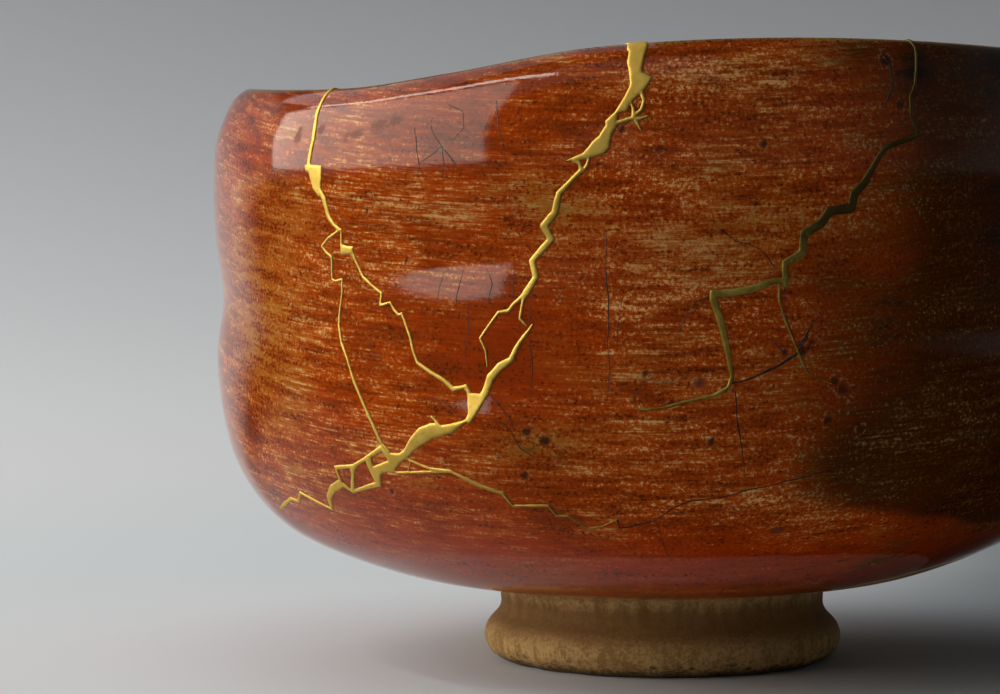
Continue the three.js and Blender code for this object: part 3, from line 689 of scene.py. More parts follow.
B2 = [(-15.9, 62.4), (-16.2, 61.7), (-16.6, 59.7), (-15.8, 58.9)]
B3 = [(-15.1, 58.9), (-16.7, 57.0), (-17.7, 55.2), (-19.0, 54.5), (-20.2, 53.3), (-20.8, 51.8), (-21.9, 50.0), (-22.8, 48.6)]
TAIL = [(-44.4, 39.6), (-46.5, 38.7), (-48.4, 37.2), (-49.2, 35.3)]
TAIL2 = [(-49.1, 35.1), (-51.7, 36.1), (-55.0, 37.3), (-57.1, 35.7), (-58.8, 36.0), (-62.9, 34.6), (-66.5, 33.4)]
C1 = [(-35.0, 42.2), (-34.1, 41.7), (-26.3, 42.3)]
C2 = [(-32.6, 44.0), (-31.8, 43.4), (-29.1, 42.5), (-26.3, 42.3), (-22.5, 40.5), (-19.8, 39.6), (-18.8, 37.8), (-14.2, 38.0),
      (-13.4, 36.5), (-11.9, 36.5), (-9.6, 34.4), (-7.8, 34.8), (-5.8, 36.0)]
D = [(32.5, 90.2), (32.3, 88.1), (30.7, 83.6), (29.8, 82.3), (29.6, 80.3), (30.4, 78.2), (28.6, 77.6), (26.0, 76.8),
     (24.9, 75.5), (23.3, 73.1), (22.1, 72.0), (21.8, 70.5), (19.1, 70.2), (18.1, 68.9), (16.1, 67.9), (16.0, 65.9),
     (13.9, 64.8), (14.1, 62.7)]
D1 = [(14.1, 63.1), (12.6, 63.0), (10.0, 62.2), (8.1, 61.9), (5.7, 61.8), (5.7, 61.1), (6.6, 58.8), (7.3, 55.9),
      (7.9, 53.2), (7.5, 52.0), (5.9, 51.2), (2.4, 50.5), (0.4, 50.0), (-1.8, 49.7), (-4.1, 49.9)]
D2 = [(13.3, 62.6), (13.3, 61.0), (14.0, 59.0), (15.3, 56.3), (16.0, 54.7), (16.7, 53.4), (18.4, 52.6), (19.7, 52.2)]

front_outside = [
    line(A, [(0, 0.60), (0.35, 0.66), (0.60, 0.66), (0.72, 0.82), (0.85, 0.70), (1, 0.42)]),
    line(A1, [(0, 0.34), (0.3, 0.30), (0.45, 0.36), (0.75, 0.44), (1, 0.50)]),
    line(A2, [(0, 0.34), (0.35, 0.34), (0.55, 0.34), (0.75, 0.42), (1, 0.60)]),
    line(B, [(0, 0.46), (0.20, 0.68), (0.42, 1.02), (0.58, 0.82), (0.80, 0.72), (1, 0.86)]),
    line(B1, [(0, 0.55), (0.4, 0.38), (0.8, 0.30), (1, 0.16)]),
    line(B2, [(0, 0.50), (0.6, 0.32), (1, 0.24)]),
    line(B3, [(0, 0.34), (0.25, 0.62), (0.5, 1.0), (0.7, 0.95), (1, 0.9)]),
    line(TAIL, [(0, 1.2), (0.6, 1.0), (1, 0.40)]),
    line(TAIL2, [(0, 0.40), (0.25, 0.38), (0.5, 0.46), (0.8, 0.60), (1, 0.25)]),
    line(C1, [(0, 0.30), (0.5, 0.36), (1, 0.40)]),
    line(C2, [(0, 0.30), (0.18, 0.36), (0.3, 0.50), (0.5, 0.40), (0.75, 0.32), (1, 0.14)]),
    line([(-31.7, 43.4), (-32.3, 42.1)], [(0, 0.26), (1, 0.22)]),
    # twigs beside the wide gold at the top
    line([(-2.6, 83.2), (-2.2, 82.2), (-2.5, 81.2), (-3.1, 80.8), (-3.5, 80.4)], [(0, 0.5), (0.4, 0.42), (1, 0.50)]),
    line([(-3.8, 82.2), (-3.4, 81.3), (-3.4, 80.4)], [(0, 0.42), (1, 0.42)]),
    line([(-5.5, 79.9), (-4.7, 80.1), (-3.6, 80.35), (-2.7, 80.3), (-1.8, 80.45)], [(0, 0.44), (0.5, 0.48), (1, 0.24)]),
    line([(-3.3, 80.3), (-2.9, 79.7), (-2.5, 79.0)], [(0, 0.44), (1, 0.22)]),
    line([(-10.2, 76.3), (-9.5, 76.0), (-9.2, 75.1)], [(0, 0.36), (1, 0.40)]),
    line([(-8.4, 76.6), (-8.6, 75.7), (-9.2, 75.1)], [(0, 0.42), (1, 0.36)]),
    line([(-27.9, 48.8), (-27.3, 48.3), (-26.6, 47.5)], [(0, 0.28), (1, 0.50)]),
]
# gold that fills wider chips: outlines in (azimuth, v)
FILL_TOP = [(-4.9, 90.4), (-4.0, 88.8), (-4.3, 86.7), (-4.0, 85.5), (-3.8, 84.0), (-4.5, 82.6), (-5.5, 81.1), (-6.6, 80.2),
            (-6.5, 79.8), (-7.3, 78.7), (-8.0, 78.1), (-9.1, 77.0), (-11.0, 76.4), (-9.7, 76.3), (-8.4, 76.4), (-6.7, 76.8),
            (-6.1, 77.4), (-5.9, 78.7), (-5.4, 79.5), (-5.3, 80.2), (-5.2, 81.0), (-4.1, 81.2), (-3.8, 81.9), (-2.9, 82.7),
            (-2.1, 83.5), (-1.3, 84.7), (-2.6, 85.4), (-2.3, 87.2), (-1.9, 88.9), (-2.2, 90.4)]
FILL_A = [(-47.4, 78.9), (-46.7, 79.0), (-44.2, 78.8), (-44.3, 77.0), (-44.5, 75.2), (-44.8, 75.1), (-45.8, 76.0), (-46.6, 78.0), (-47.3, 78.2)]
FILL_A2 = [(-41.4, 69.3), (-41.4, 68.0), (-39.5, 68.1), (-39.4, 68.9), (-40.4, 69.0)]
FILL_B = [(-23.2, 51.6), (-21.7, 51.5), (-21.0, 51.4), (-22.3, 49.4), (-22.9, 49.1)]
BAND = [(-22.8, 48.7), (-24.4, 48.2), (-26.6, 47.8), (-27.7, 48.1), (-29.7, 47.5), (-31.1, 46.3), (-32.5, 44.6), (-33.2, 44.2),
        (-34.9, 44.2), (-36.9, 42.9), (-36.5, 41.7), (-34.6, 41.8), (-33.5, 42.9), (-31.5, 44.2), (-30.1, 45.2), (-28.0, 46.3),
        (-25.2, 47.0), (-23.2, 48.3)]
LADDER = [(-36, 45), (-38.7, 43.5), (-41.3, 42.3), (-44.8, 41.9), (-44.7, 41.7), (-44.5, 39.3), (-42.8, 38.3), (-37.3, 39.7),
          (-36.7, 41.4), (-34.6, 42.2), (-34.6, 44.2)]
HOLES = [
    [(-44.2, 41.5), (-41.9, 41.8), (-41.9, 41), (-43, 38.8), (-44.1, 39.8)],
    [(-40.4, 42.2), (-38.8, 42.9), (-38.1, 40.2), (-42.2, 38.9), (-41.1, 41.5)],
    [(-37.8, 43.4), (-35.9, 44.3), (-35.1, 43.2), (-37.7, 42.3)],
]
front_inside = [mirrored(line(A, [(0, 0.46), (1, 0.45)])), mirrored(line(A1, 0.42)), mirrored(line(A2, 0.42)),
                mirrored(line(B, [(0, 0.8), (0.2, 0.8), (1, 0.7)])), mirrored(line(B2, 0.5)), mirrored(line(B3, 0.7)),
                mirrored(line([(-22.8, 48.7), (-28, 47.0), (-34.9, 43.2)], [(0, 0.8), (1, 1.1)])),
                mirrored(line([(-15.8, 59.4), (-15.1, 58.6)], 0.5)),
                mirrored(line([(-23.1, 51.9), (-22.8, 48.4)], 0.7)),
                mirrored(line([(-3.4, 90.4), (-3.2, 86.5), (-3.0, 84), (-5.5, 80), (-8.0, 77.0), (-9.2, 75.2)], [(0, 2.2), (0.15, 1.7), (0.6, 1.3), (1, 0.7)]))]
right_outside = [
    line(D, [(0, 0.36), (0.3, 0.42), (0.45, 0.52), (0.62, 1.05), (0.8, 1.00), (1, 0.70)]),
    line(D1, [(0, 0.55), (0.12, 0.80), (0.28, 0.84), (0.36, 0.86), (0.52, 0.60), (0.68, 0.34), (0.8, 0.34), (1, 0.12)]),
    line(D2, [(0, 0.30), (0.5, 0.26), (1, 0.12)]),
]
right_inside = [mirrored(line(D, [(0, 0.42), (0.6, 0.7), (1, 0.5)])), mirrored(line(D1[:10], 0.5))]


def inside_polygon(px, py, poly):
    inside = np.zeros(px.shape, bool)
    n = len(poly)
    for a in range(n):
        x0, y0 = poly[a]
        x1, y1 = poly[(a + 1) % n]
        if y0 == y1:
            continue
        cross = ((y0 > py) != (y1 > py)) & (px < (x1 - x0) * (py - y0) / (y1 - y0) + x0)
        inside ^= cross
    return inside


def segment_distance(px, py, a, b):
    ax, ay = a
    bx, by = b
    dx, dy = bx - ax, by - ay
    t = np.clip(((px - ax) * dx + (py - ay) * dy) / max(dx * dx + dy * dy, 1e-12), 0, 1)
    return np.hypot(px - ax - t * dx, py - ay - t * dy), t


def seam(name, runs, fills, holes, step, high, seed, wobble=0.035):
    """A raised closed band of lacquer that follows the runs over the wall, as one solid."""
    flat = [[(a * PER_DEGREE, v, w) for a, v, w in run] for run in runs]
    fills = [[(a * PER_DEGREE, v) for a, v in f] for f in fills]
    holes = [[(a * PER_DEGREE, v) for a, v in f] for f in holes]
    every = np.array([q[:2] for run in flat for q in run] + [q for f in fills for q in f])
    lo, hi = every.min(0) - 1.5, every.max(0) + 1.5
    gu = np.arange(lo[0], hi[0], step)
    gv = np.arange(lo[1], hi[1], step)
    D_ = np.full((len(gu), len(gv)), 9.0)

    def window(points, pad):
        p = np.array([q[:2] for q in points])
        a = np.clip(((p.min(0) - pad - lo) / step).astype(int), 0, None)
        b = ((p.max(0) + pad - lo) / step).astype(int) + 2
        return slice(a[0], b[0]), slice(a[1], b[1])

    def soft_min(a, b, k=0.10):
        hh = np.clip(0.5 + 0.5 * (b - a) / k, 0, 1)
        return b * (1 - hh) + a * hh - k * hh * (1 - hh)

    for run in flat:
        own = np.full_like(D_, 9.0)
        for p0, p1 in zip(run[:-1], run[1:]):
            s = window([p0, p1], 1.3)
            PX, PY = np.meshgrid(gu[s[0]], gv[s[1]], indexing="ij")
            d, t = segment_distance(PX, PY, p0[:2], p1[:2])
            own[s] = np.minimum(own[s], d - 0.5 * (p0[2] + t * (p1[2] - p0[2])))
        D_ = soft_min(own, D_)

    def polygon_distance(poly, s):
        PX, PY = np.meshgrid(gu[s[0]], gv[s[1]], indexing="ij")
        d = np.full(PX.shape, 9.0)
        for a in range(len(poly)):
            d = np.minimum(d, segment_distance(PX, PY, poly[a], poly[(a + 1) % len(poly)])[0])
        return np.where(inside_polygon(PX, PY, poly), -d, d)

    for poly in fills:
        s = window(poly, 1.0)
        D_[s] = soft_min(polygon_distance(poly, s) - 0.05, D_[s])
    for poly in holes:
        s = window(poly, 1.0)
        D_[s] = np.maximum(D_[s], -polygon_distance(poly, s) - 0.02)
    GU, GV = np.meshgrid(gu, gv, indexing="ij")
    near = np.abs(D_) < 1.5
    wob = np.zeros_like(D_)
    wob[near] = (wobble * lumps(GU[near], GV[near], 0 * GU[near], 0.9, seed)
                 + 0.6 * wobble * lumps(GU[near], GV[near], 0 * GU[near], 0.37, seed + 1))
    D_ = D_ + wob
    tiny = np.abs(D_) < 0.10 * step
    D_[tiny] = np.where(D_[tiny] < 0, -0.10, 0.10) * step
    D_[0], D_[-1], D_[:, 0], D_[:, -1] = 9, 9, 9, 9
    solid = D_ < 0
    index = -np.ones(D_.shape, int)
    index[solid] = np.arange(int(solid.sum()))
    verts_u = list(GU[solid])
    verts_v = list(GV[solid])
    verts_d = list(D_[solid])
    count = solid[:-1, :-1] + solid[1:, :-1].astype(int) + solid[1:, 1:] + solid[:-1, 1:]
    fi, fj = np.nonzero(count == 4)
    faces = np.stack([index[fi, fj], index[fi + 1, fj], index[fi + 1, fj + 1], index[fi, fj + 1]], -1).tolist()
    cut = {}

    def crossing(p, q):
        key = (p, q) if p < q else (q, p)
        if key not in cut:
            a, b = D_[key[0]], D_[key[1]]
            t = a / (a - b)
            cut[key] = len(verts_u)
            verts_u.append(GU[key[0]] + t * (GU[key[1]] - GU[key[0]]))
            verts_v.append(GV[key[0]] + t * (GV[key[1]] - GV[key[0]]))
            verts_d.append(0.0)
        return cut[key]

    for ci, cj in zip(*np.nonzero((count > 0) & (count < 4))):
        ring = [(ci, cj), (ci + 1, cj), (ci + 1, cj + 1), (ci, cj + 1)]
        poly = []
        for n in range(4):
            p, q = ring[n], ring[(n + 1) % 4]
            if solid[p]:
                poly.append(int(index[p]))
            if solid[p] != solid[q]:
                poly.append(crossing(p, q))
        faces.append(poly)
    U, V, DD = np.array(verts_u), np.array(verts_v), np.array(verts_d)
    # keep the largest connected body, so that no stray crumb is left
    parent = np.arange(len(U))

    def root(a):
        while parent[a] != a:
            parent[a] = parent[parent[a]]
            a = parent[a]
        return a

    for f in faces:
        r0 = root(f[0])
        for q in f[1:]:
            rq = root(q)
            if rq != r0:
                parent[rq] = r0
    roots = np.array([root(a) for a in range(len(U))])
    names, sizes = np.unique(roots, return_counts=True)
    keep = roots == names[np.argmax(sizes)]
    new = -np.ones(len(U), int)
    new[keep] = np.arange(int(keep.sum()))
    faces = [[int(new[q]) for q in f] for f in faces if keep[f[0]]]
    U, V, DD = U[keep], V[keep], DD[keep]
    n = len(U)
    az = U / PER_DEGREE
    P = surface(az, V)
    NN = normals(az, V)
    t = np.clip(-DD / 0.38, 0, 1)
    dome = 0.02 + (high - 0.02) * np.sqrt(1 - (1 - t) ** 2)
    dome = dome * (1 + 0.10 * lumps(U, V, 0 * U, 1.7, seed + 2)) + 0.012 * lumps(U, V, 0 * U, 0.6, seed + 3) * t
    top_p = P + NN * dome[:, None]
    low_p = P - NN * 0.22
    seen = {}
    for f in faces:
        for a, b in zip(f, f[1:] + f[:1]):
            seen[(a, b)] = 1
    sides = [[b, a, a + n, b + n] for (a, b) in seen if (b, a) not in seen]
    under = [[q + n for q in reversed(f)] for f in faces]
    everything = faces + under + sides
    uvs = np.stack([(U - lo[0]) / (hi[0] - lo[0]), (V - lo[1]) / (hi[1] - lo[1])], -1)
    uvs = np.concatenate([uvs, uvs])
    loops = np.concatenate([np.array(f) for f in everything])
    ob = make_mesh(name, np.concatenate([top_p, low_p]), everything, uv=uvs[loops],
                   layers={"rise": np.concatenate([t, 0 * t]), "along": np.concatenate([V, V])},
                   vectors={"place": np.concatenate([P, P])})
    me = ob.data
    flat_sides = np.ones(len(me.polygons), bool)
    me.polygons.foreach_set("use_smooth", flat_sides)
    print(name, "triangles", sum(len(p.vertices) - 2 for p in me.polygons))
    return ob


def gold_material(name, bright, dull, grime_and_shade, dirt_amount, rough_lo, rough_hi, metal, fade=None):
    m, t, sh = new_material(name)
    g = Nodes(t)
    pl = g.attr("place", True)
    rise = g.attr("rise")
    soft = g.noise(g.scaled(pl, (0.35, 0.35, 0.35)), 2.0, 0.6)
    dust = g.noise(g.scaled(pl, (5.0, 5.0, 5.0)), 2.0, 0.65)
    smear = g.noise(g.scaled(pl, (1.6, 1.6, 1.6), (2, 3, 4)), 3.0, 0.6)
    col = g.mix(g.ramp(soft, 0.35, 0.65), dull, bright)
    col = g.mix(g.mul(g.ramp(smear, 0.55, 0.75), 0.4), col, dull)
    worn = g.mul(g.ramp(rise, 0.30, 0.02), 0.8)
    worn = g.math("MAXIMUM", worn, g.mul(g.ramp(g.add(g.mul(smear, 0.7), g.mul(dust, 0.3)), 0.57, 0.70), 0.9))
    if fade:
        worn = g.math("MAXIMUM", g.mul(worn, dirt_amount), g.mul(g.ramp(g.mad(smear, 8.0, g.attr("along")), fade[0] + 4, fade[1] + 4), fade[2]))
        col = g.mix(worn, col, grime_and_shade)
    else:
        col = g.mix(g.mul(worn, dirt_amount), col, grime_and_shade)
    g.put(sh.inputs["Base Color"], col)
    sh.inputs["Metallic"].default_value = metal
    g.put(sh.inputs["Roughness"], g.ramp(g.add(g.mul(dust, 0.6), g.mul(smear, 0.4)), 0.35, 0.65, rough_lo, rough_hi))
    g.put(sh.inputs["Normal"], g.bump(g.add(g.mul(dust, 0.5), smear), 0.30, 0.00003))
    return m


# two copies of the gold: the front seams bright, the right seams darker and dirtier, partly real dirt and partly
# painted shade for the side turned from the light
gold_bright = gold_material("gold_lacquer_bright", (1.00, 0.69, 0.150), (0.90, 0.60, 0.115), (0.20, 0.105, 0.022), 0.35, 0.50, 0.64, 0.90)
gold_soiled_painted_shade = gold_material("gold_lacquer_soiled_painted_shade", (0.84, 0.61, 0.120), (0.50, 0.34, 0.045), (0.055, 0.034, 0.010), 0.60, 0.38, 0.55, 0.75,
                          (60.0, 70.0, 0.88))

seam_front = seam("seam_front", front_outside + front_inside, [FILL_TOP, FILL_A, FILL_A2, FILL_B, BAND, LADDER], HOLES, 0.125, 0.15, 21)
seam_right = seam("seam_right", right_outside + right_inside, [], [], 0.13, 0.15, 41)
for ob, mat, node in ((seam_front, gold_bright, "gold_seam_front"), (seam_right, gold_soiled_painted_shade, "gold_seam_right")):
    ob.data.materials.append(mat)
    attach(ob, "root")
    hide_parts(node)

# ---------------------------------------------------------------- hairline cracks in the glaze
fine, thin = [(0, 0.07), (0.5, 0.12), (1, 0.05)], [(0, 0.05), (0.5, 0.09), (1, 0.04)]
CRACKS = [
    ([(-5.7, 36.0), (-5.5, 34.5), (-1.3, 35.7), (1.2, 37.8), (3.6, 39.0), (7.0, 39.4), (11.3, 40.7), (17.4, 42.1), (20.8, 42.9), (23.7, 45.5)],
     [(0, 0.20), (0.4, 0.15), (1, 0.08)]),
    ([(7.9, 52.4), (8.8, 52.6), (11.0, 53.3), (13.0, 54.1), (15.6, 55.5), (16.7, 57.2)], [(0, 0.16), (0.5, 0.22), (1, 0.30)]),
    ([(27.1, 86.7), (27.8, 86.1), (27.5, 83.2), (25.9, 80.5)], [(0, 0.30), (0.5, 0.22), (1, 0.10)]),
    ([(14.0, 62.6), (13.9, 61.0), (14.5, 58.3), (15.5, 56.3), (16.5, 55.6)], fine),
    ([(-6.4, 68.5), (-6.5, 65.1), (-6.2, 61.4), (-6.3, 57.1), (-6.1, 53.7), (-6.4, 50.2)], fine),
    ([(-15.3, 61.5), (-15.5, 58.4), (-15.0, 54.9), (-15.4, 50.8)], fine),
    ([(-23.2, 62.1), (-22.9, 58.7), (-23.4, 56.2), (-23.2, 54.0)], thin),
    ([(8.2, 51.9), (8.6, 48.5), (9.4, 44.2), (9.8, 42.1)], [(0, 0.12), (0.5, 0.14), (1, 0.05)]),
    ([(5.2, 61.5), (3.8, 60.9), (2.6, 59.4), (1.8, 58.2), (1.8, 56.6)], [(0, 0.12), (0.5, 0.10), (1, 0.05)]),
    ([(15.8, 56.2), (16.6, 57.3), (17.3, 58.3), (18.2, 59.3)], [(0, 0.22), (0.6, 0.14), (1, 0.06)]),
    ([(12.6, 56.9), (13.3, 55.9), (14.4, 55.3)], [(0, 0.08), (0.5, 0.14), (1, 0.10)]),
    ([(6.2, 68.6), (8.2, 67.3), (11.0, 66.4), (12.8, 64.4)], [(0, 0.10), (0.5, 0.08), (1, 0.14)]),
    ([(-26.2, 79.7), (-27.1, 80.8), (-27.9, 82.2), (-27.9, 83.3)], thin),
    ([(-26.2, 79.7), (-24.8, 78.0), (-23.8, 76.5)], fine),
    ([(-26.2, 79.7), (-27.7, 78.7), (-29.5, 77.7)], thin),
    ([(-26.2, 79.7), (-25.9, 77.9), (-26.1, 76.1)], fine),
    ([(-30.1, 82.2), (-29.5, 79.6), (-29.1, 77.7), (-29.6, 76.6)], fine),
    ([(-26.5, 84.9), (-24.0, 83.4), (-23.5, 81.4), (-24.9, 80.1)], thin),
    ([(-19.7, 84.1), (-19.3, 81.5), (-18.6, 78.9), (-18.1, 76.6)], fine),
    ([(-0.7, 35.7), (0.2, 31.4), (1.4, 26.7)], thin),
    ([(1.2, 37.1), (2.3, 37.3), (3.3, 37.1)], fine),
    ([(-26.5, 65.3), (-26.8, 63.9), (-27.2, 62.2)], thin),
    ([(-23.9, 65.5), (-24.4, 63.2), (-24.8, 61.4)], fine),
    ([(-20.8, 65.5), (-20.1, 63.5), (-20.5, 61.5)], fine),
    ([(-17.3, 65.3), (-17.5, 62.9), (-16.9, 61.1)], thin),
    ([(-28.1, 51.3), (-26.0, 50.5), (-25.0, 49.4), (-22.7, 48.1)], thin),
    ([(-20.7, 51.7), (-19.3, 50.4), (-17.8, 49.0), (-17.3, 47.4)], fine),
    ([(-18.9, 48.6), (-17.6, 47.3), (-16.8, 45.4), (-15.4, 44.6)], fine),
    ([(-4.7, 61.5), (-5.2, 58.2), (-5.0, 55.9)], thin),
    ([(-0.9, 53.4), (-2.6, 52.0), (-3.4, 50.7), (-2.0, 49.8)], thin),
    ([(-42.8, 74.0), (-40.5, 71.9), (-39.5, 69.7)], thin),
    ([(-37.1, 57.7), (-36.4, 56.3), (-34.9, 55.3)], fine),
]
cracks = [line(p, w) for p, w in CRACKS]


def crack_strip(run, seed):
    """A fine dark line that lies in the glaze, as a thin closed strip."""
    p = np.array(run, float)
    q = p[:, :2] * [PER_DEGREE, 1.0]
    s = np.r_[0, np.cumsum(np.hypot(*np.diff(q, axis=0).T))]
    n = max(4, int(s[-1] / 0.45))
    ss = np.linspace(0, s[-1], n)
    cu, cv = np.interp(ss, s, q[:, 0]), np.interp(ss, s, q[:, 1])
    w = np.interp(ss, s, p[:, 2])
    du, dv = np.gradient(cu), np.gradient(cv)
    ll = np.maximum(np.hypot(du, dv), 1e-9)
    nu, nv = -dv / ll, du / ll
    off = 0.10 * lumps(ss, 0 * ss, 0 * ss, 1.3, seed) + 0.05 * lumps(ss, 0 * ss, 0 * ss, 0.6, seed + 1)
    w = w * (1 + 0.4 * lumps(ss, 0 * ss + 5, 0 * ss, 1.0, seed + 2))
    cu, cv = cu + nu * off, cv + nv * off
    left = (cu + nu * w / 2, cv + nv * w / 2)
    right = (cu - nu * w / 2, cv - nv * w / 2)
    out = []
    for (uu, vv_) in (left, right):
        az = uu / PER_DEGREE
        P = surface(az, vv_)
        NN = normals(az, vv_)
        out.append((P + NN * 0.014, P - NN * 0.06))
    (lt, lb), (rt, rb) = out
    pts = np.concatenate([lt, rt, lb, rb])
    f = []
    for a in range(n - 1):
        b = a + 1
        f += [[a, n + a, n + b, b], [2 * n + a, 2 * n + b, 3 * n + b, 3 * n + a],
              [a, b, 2 * n + b, 2 * n + a], [n + a, 3 * n + a, 3 * n + b, n + b]]
    f += [[0, 2 * n, 3 * n, n], [n - 1, 2 * n - 1, 4 * n - 1, 3 * n - 1]]
    return pts, f


all_p, all_f = [], []
base = 0
for number, run in enumerate(cracks):
    pts, f = crack_strip(run, 100 + 7 * number)
    all_p.append(pts)
    all_f += [[q + base for q in face] for face in f]
    base += len(pts)
crack_ob = make_mesh("glaze_cracks", np.concatenate(all_p), all_f)
crack_mat, tree, shader = new_material("crack_stain")
G = Nodes(tree)
shade = G.noise(G.scaled(G.t.nodes.new("ShaderNodeTexCoord").outputs["Object"], (900, 900, 900)), 1.0, 2.0)
G.put(shader.inputs["Base Color"], G.mix(G.ramp(shade, 0.35, 0.65), (0.016, 0.008, 0.005), (0.05, 0.022, 0.012)))
shader.inputs["Roughness"].default_value = 0.45
crack_ob.data.materials.append(crack_mat)
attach(crack_ob, "root")

# ---------------------------------------------------------------- floor and light
def round_surface(name, prof, start=None, end=None, count=96):
    """A surface turned about the upright axis through the bowl, all round or from one azimuth to another."""
    whole = start is None
    turns = [2 * math.pi * n / count for n in range(count)] if whole else \
        [math.radians(start + (end - start) * n / (count - 1)) for n in range(count)]
    pts = [(r * math.sin(t), -r * math.cos(t), z) for r, z in prof for t in turns]
    faces = []
    for m in range(len(prof) - 1):
        for n in range(count if whole else count - 1):
            a, b = m * count + n, m * count + (n + 1) % count
            faces.append((a, b, b + count, a + count))
    me = bpy.data.meshes.new(name)
    me.from_pydata(pts, [], faces)
    me.polygons.foreach_set("use_smooth", np.ones(len(me.polygons), bool))
    ob = bpy.data.objects.new(name, me)
    bpy.context.scene.collection.objects.link(ob)
    return ob


curve = [(0.6 + 2.4 * math.sin(math.pi / 2 * n / 40), 2.4 * (1 - math.cos(math.pi / 2 * n / 40))) for n in range(1, 41)]
floor = round_surface("floor", [(0.0005, 0.0), (0.2, 0.0), (0.4, 0.0), (0.6, 0.0)] + curve + [(3.0, 3.0)])
paper, tree, shader = new_material("floor_paper_painted_shade")
G = Nodes(tree)
fx, fy, fz_ = G.split(tree.nodes.new("ShaderNodeTexCoord").outputs["Object"])
# painted shade: the paper grows darker further back and to the right
paper_and_painted_shade = G.mix(G.ramp(G.mad(fx, 0.33, G.mul(fy, 0.80)), 0.40, 1.60), (0.935, 0.950, 0.995), (0.41, 0.42, 0.445))
reach = G.math("SQRT", G.mad(fx, fx, G.mul(fy, fy)))
# painted shadow of the bowl on the floor to its right and behind it
paper_and_painted_shade = G.mix(G.mul(G.mul(G.ramp(fx, 0.00, 0.08), G.ramp(reach, 0.30, 0.13)), G.ramp(fy, -0.04, 0.10, 0.25, 1.0)), paper_and_painted_shade, (0.24, 0.25, 0.265))
# painted shadow under the bowl, darker close round the foot
paper_and_painted_shade = G.mix(G.ramp(reach, 0.085, 0.030, 0.0, 0.5), paper_and_painted_shade, (0.50, 0.51, 0.53))
paper_and_painted_shade = G.mix(G.ramp(reach, 0.30, 0.08, 0.0, 0.5), paper_and_painted_shade, (0.86, 0.95, 1.0), "MULTIPLY")
# painted shade: the floor darkens towards the front, on the camera's side
G.put(shader.inputs["Base Color"], G.mix(G.ramp(G.mad(fx, -0.35, fy), -1.1, -0.10), (0.28, 0.29, 0.33), paper_and_painted_shade))
shader.inputs["Roughness"].default_value = 0.9
shader.inputs["Specular IOR Level"].default_value = 0.0
floor.data.materials.append(paper)

# a thin black sheet round the front of the bowl, sheer along its inner edge, which only the gloss of the glaze picks
# up: painted shade, so that the glaze reflects a dark floor there
shade_sheet = round_surface("reflected_shade_sheet", [(0.040, 0.0006), (0.060, 0.0008), (0.08, 0.0010), (0.11, 0.0015), (0.15, 0.002), (0.30, 0.010), (0.60, 0.035), (0.93, 0.066)],
                      -136, 150)
black, tree, shader = new_material("reflected_shade_sheet")
G = Nodes(tree)
cx, cy, _ = G.split(tree.nodes.new("ShaderNodeTexCoord").outputs["Object"])
sheer = G.ramp(G.mad(cx, 0.80, G.math("SQRT", G.mad(cx, cx, G.mul(cy, cy)))), 0.002, 0.055)
turn = G.math("ARCTAN2", cx, G.mul(cy, -1.0))
G.put(shader.inputs["Alpha"], G.mul(sheer, G.mul(G.ramp(turn, 2.60, 1.30), G.ramp(turn, -2.37, -1.98))))
shader.inputs["Base Color"].default_value = (0.005, 0.005, 0.006, 1)
shader.inputs["Roughness"].default_value = 1.0
shader.inputs["Specular IOR Level"].default_value = 0.0
shade_sheet.data.materials.append(black)
for seen_by in ("camera", "diffuse", "shadow", "transmission", "volume_scatter"):
    setattr(shade_sheet, "visible_" + seen_by, False)
EYE = (0.0, 0.0, 0.068)


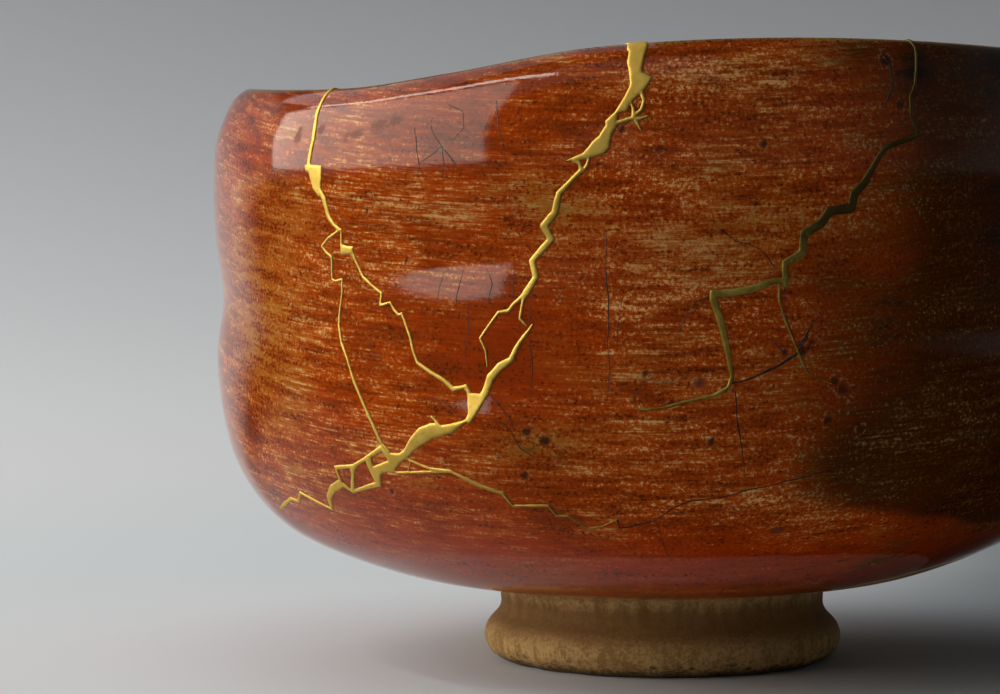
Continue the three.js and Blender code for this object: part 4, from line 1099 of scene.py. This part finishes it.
def glow(name, corners, power, tint=(1, 1, 1), facing=None, distance=None):
    """A soft light panel, lit on the side that faces the bowl. With facing and distance its four corners are given as
    (azimuth, elevation) seen from the bowl's shoulder, otherwise as points in metres. power is its radiance at its
    first and its second side; radiance 1 is as bright as white paper in full light."""
    if facing is not None:
        pts = []
        for a, e in corners:
            reach = distance / math.cos(math.radians(a - facing))
            pts.append((EYE[0] + reach * math.sin(math.radians(a)), EYE[1] - reach * math.cos(math.radians(a)),
                        EYE[2] + reach * math.tan(math.radians(e))))
    else:
        pts = corners
    p = [Vector(q) for q in pts]
    steps = 12
    verts, faces, levels = [], [], []
    for n in range(steps + 1):
        t = n / steps
        verts += [p[0].lerp(p[1], t), p[3].lerp(p[2], t)]
        levels += [power[0] + (power[1] - power[0]) * t] * 2
    for n in range(steps):
        faces.append((2 * n, 2 * n + 2, 2 * n + 3, 2 * n + 1))
    me = bpy.data.meshes.new(name)
    me.from_pydata(verts, [], faces)
    me.update()
    if me.polygons[0].normal.dot(Vector(EYE) - verts[0]) < 0:
        me.flip_normals()
    at = me.attributes.new("level", "FLOAT", "POINT")
    at.data.foreach_set("value", np.array(levels, np.float32))
    ob = bpy.data.objects.new(name, me)
    bpy.context.scene.collection.objects.link(ob)
    m = bpy.data.materials.new(name)
    m.use_nodes = True
    t = m.node_tree
    t.nodes.clear()
    out, em = t.nodes.new("ShaderNodeOutputMaterial"), t.nodes.new("ShaderNodeEmission")
    em.inputs["Color"].default_value = tint + (1,)
    g = Nodes(t)
    front = g.sub(1.0, t.nodes.new("ShaderNodeNewGeometry").outputs["Backfacing"])
    g.put(em.inputs["Strength"], g.mul(front, g.attr("level")))
    t.links.new(em.outputs[0], out.inputs[0])
    me.materials.append(m)
    ob.visible_camera = False
    ob.visible_shadow = False
    return ob


glow("key", [(-112, 2.6), (-42, 1.6), (-56, 46), (-123, 24)], (3.85, 3.10), (1.0, 0.98, 0.88), -80, 0.95)
glow("key_line", [(-119, 29.0), (-46, 48.3), (-46, 51.0), (-119, 30.6)], (8.0, 15.0), (1.0, 0.98, 0.92), -80, 0.93)
glow("side", [(-30, -1.0), (-7, -1.0), (-7, 16), (-24, 9)], (0.10, 0.16), (1, 1, 1), -15, 0.95)
glow("above", [(-1.9, 0.1, 1.35), (-0.1, 0.1, 1.35), (-0.1, 2.1, 1.5), (-1.9, 2.1, 1.5)], (1.14, 0.52), (0.95, 0.975, 1.0))
glow("front", [(-55, 39), (15, 39), (15, 62), (-55, 62)], (0.36, 0.30), (1, 0.98, 0.95), -20, 1.2)

world = bpy.data.worlds.new("studio")
bpy.context.scene.world = world
world.use_nodes = True
bg = world.node_tree.nodes["Background"]
bg.inputs["Color"].default_value = (0.95, 0.97, 1.0, 1)
bg.inputs["Strength"].default_value = 0.016

view = bpy.context.scene.view_settings
view.view_transform = "Standard"
view.look = "None"
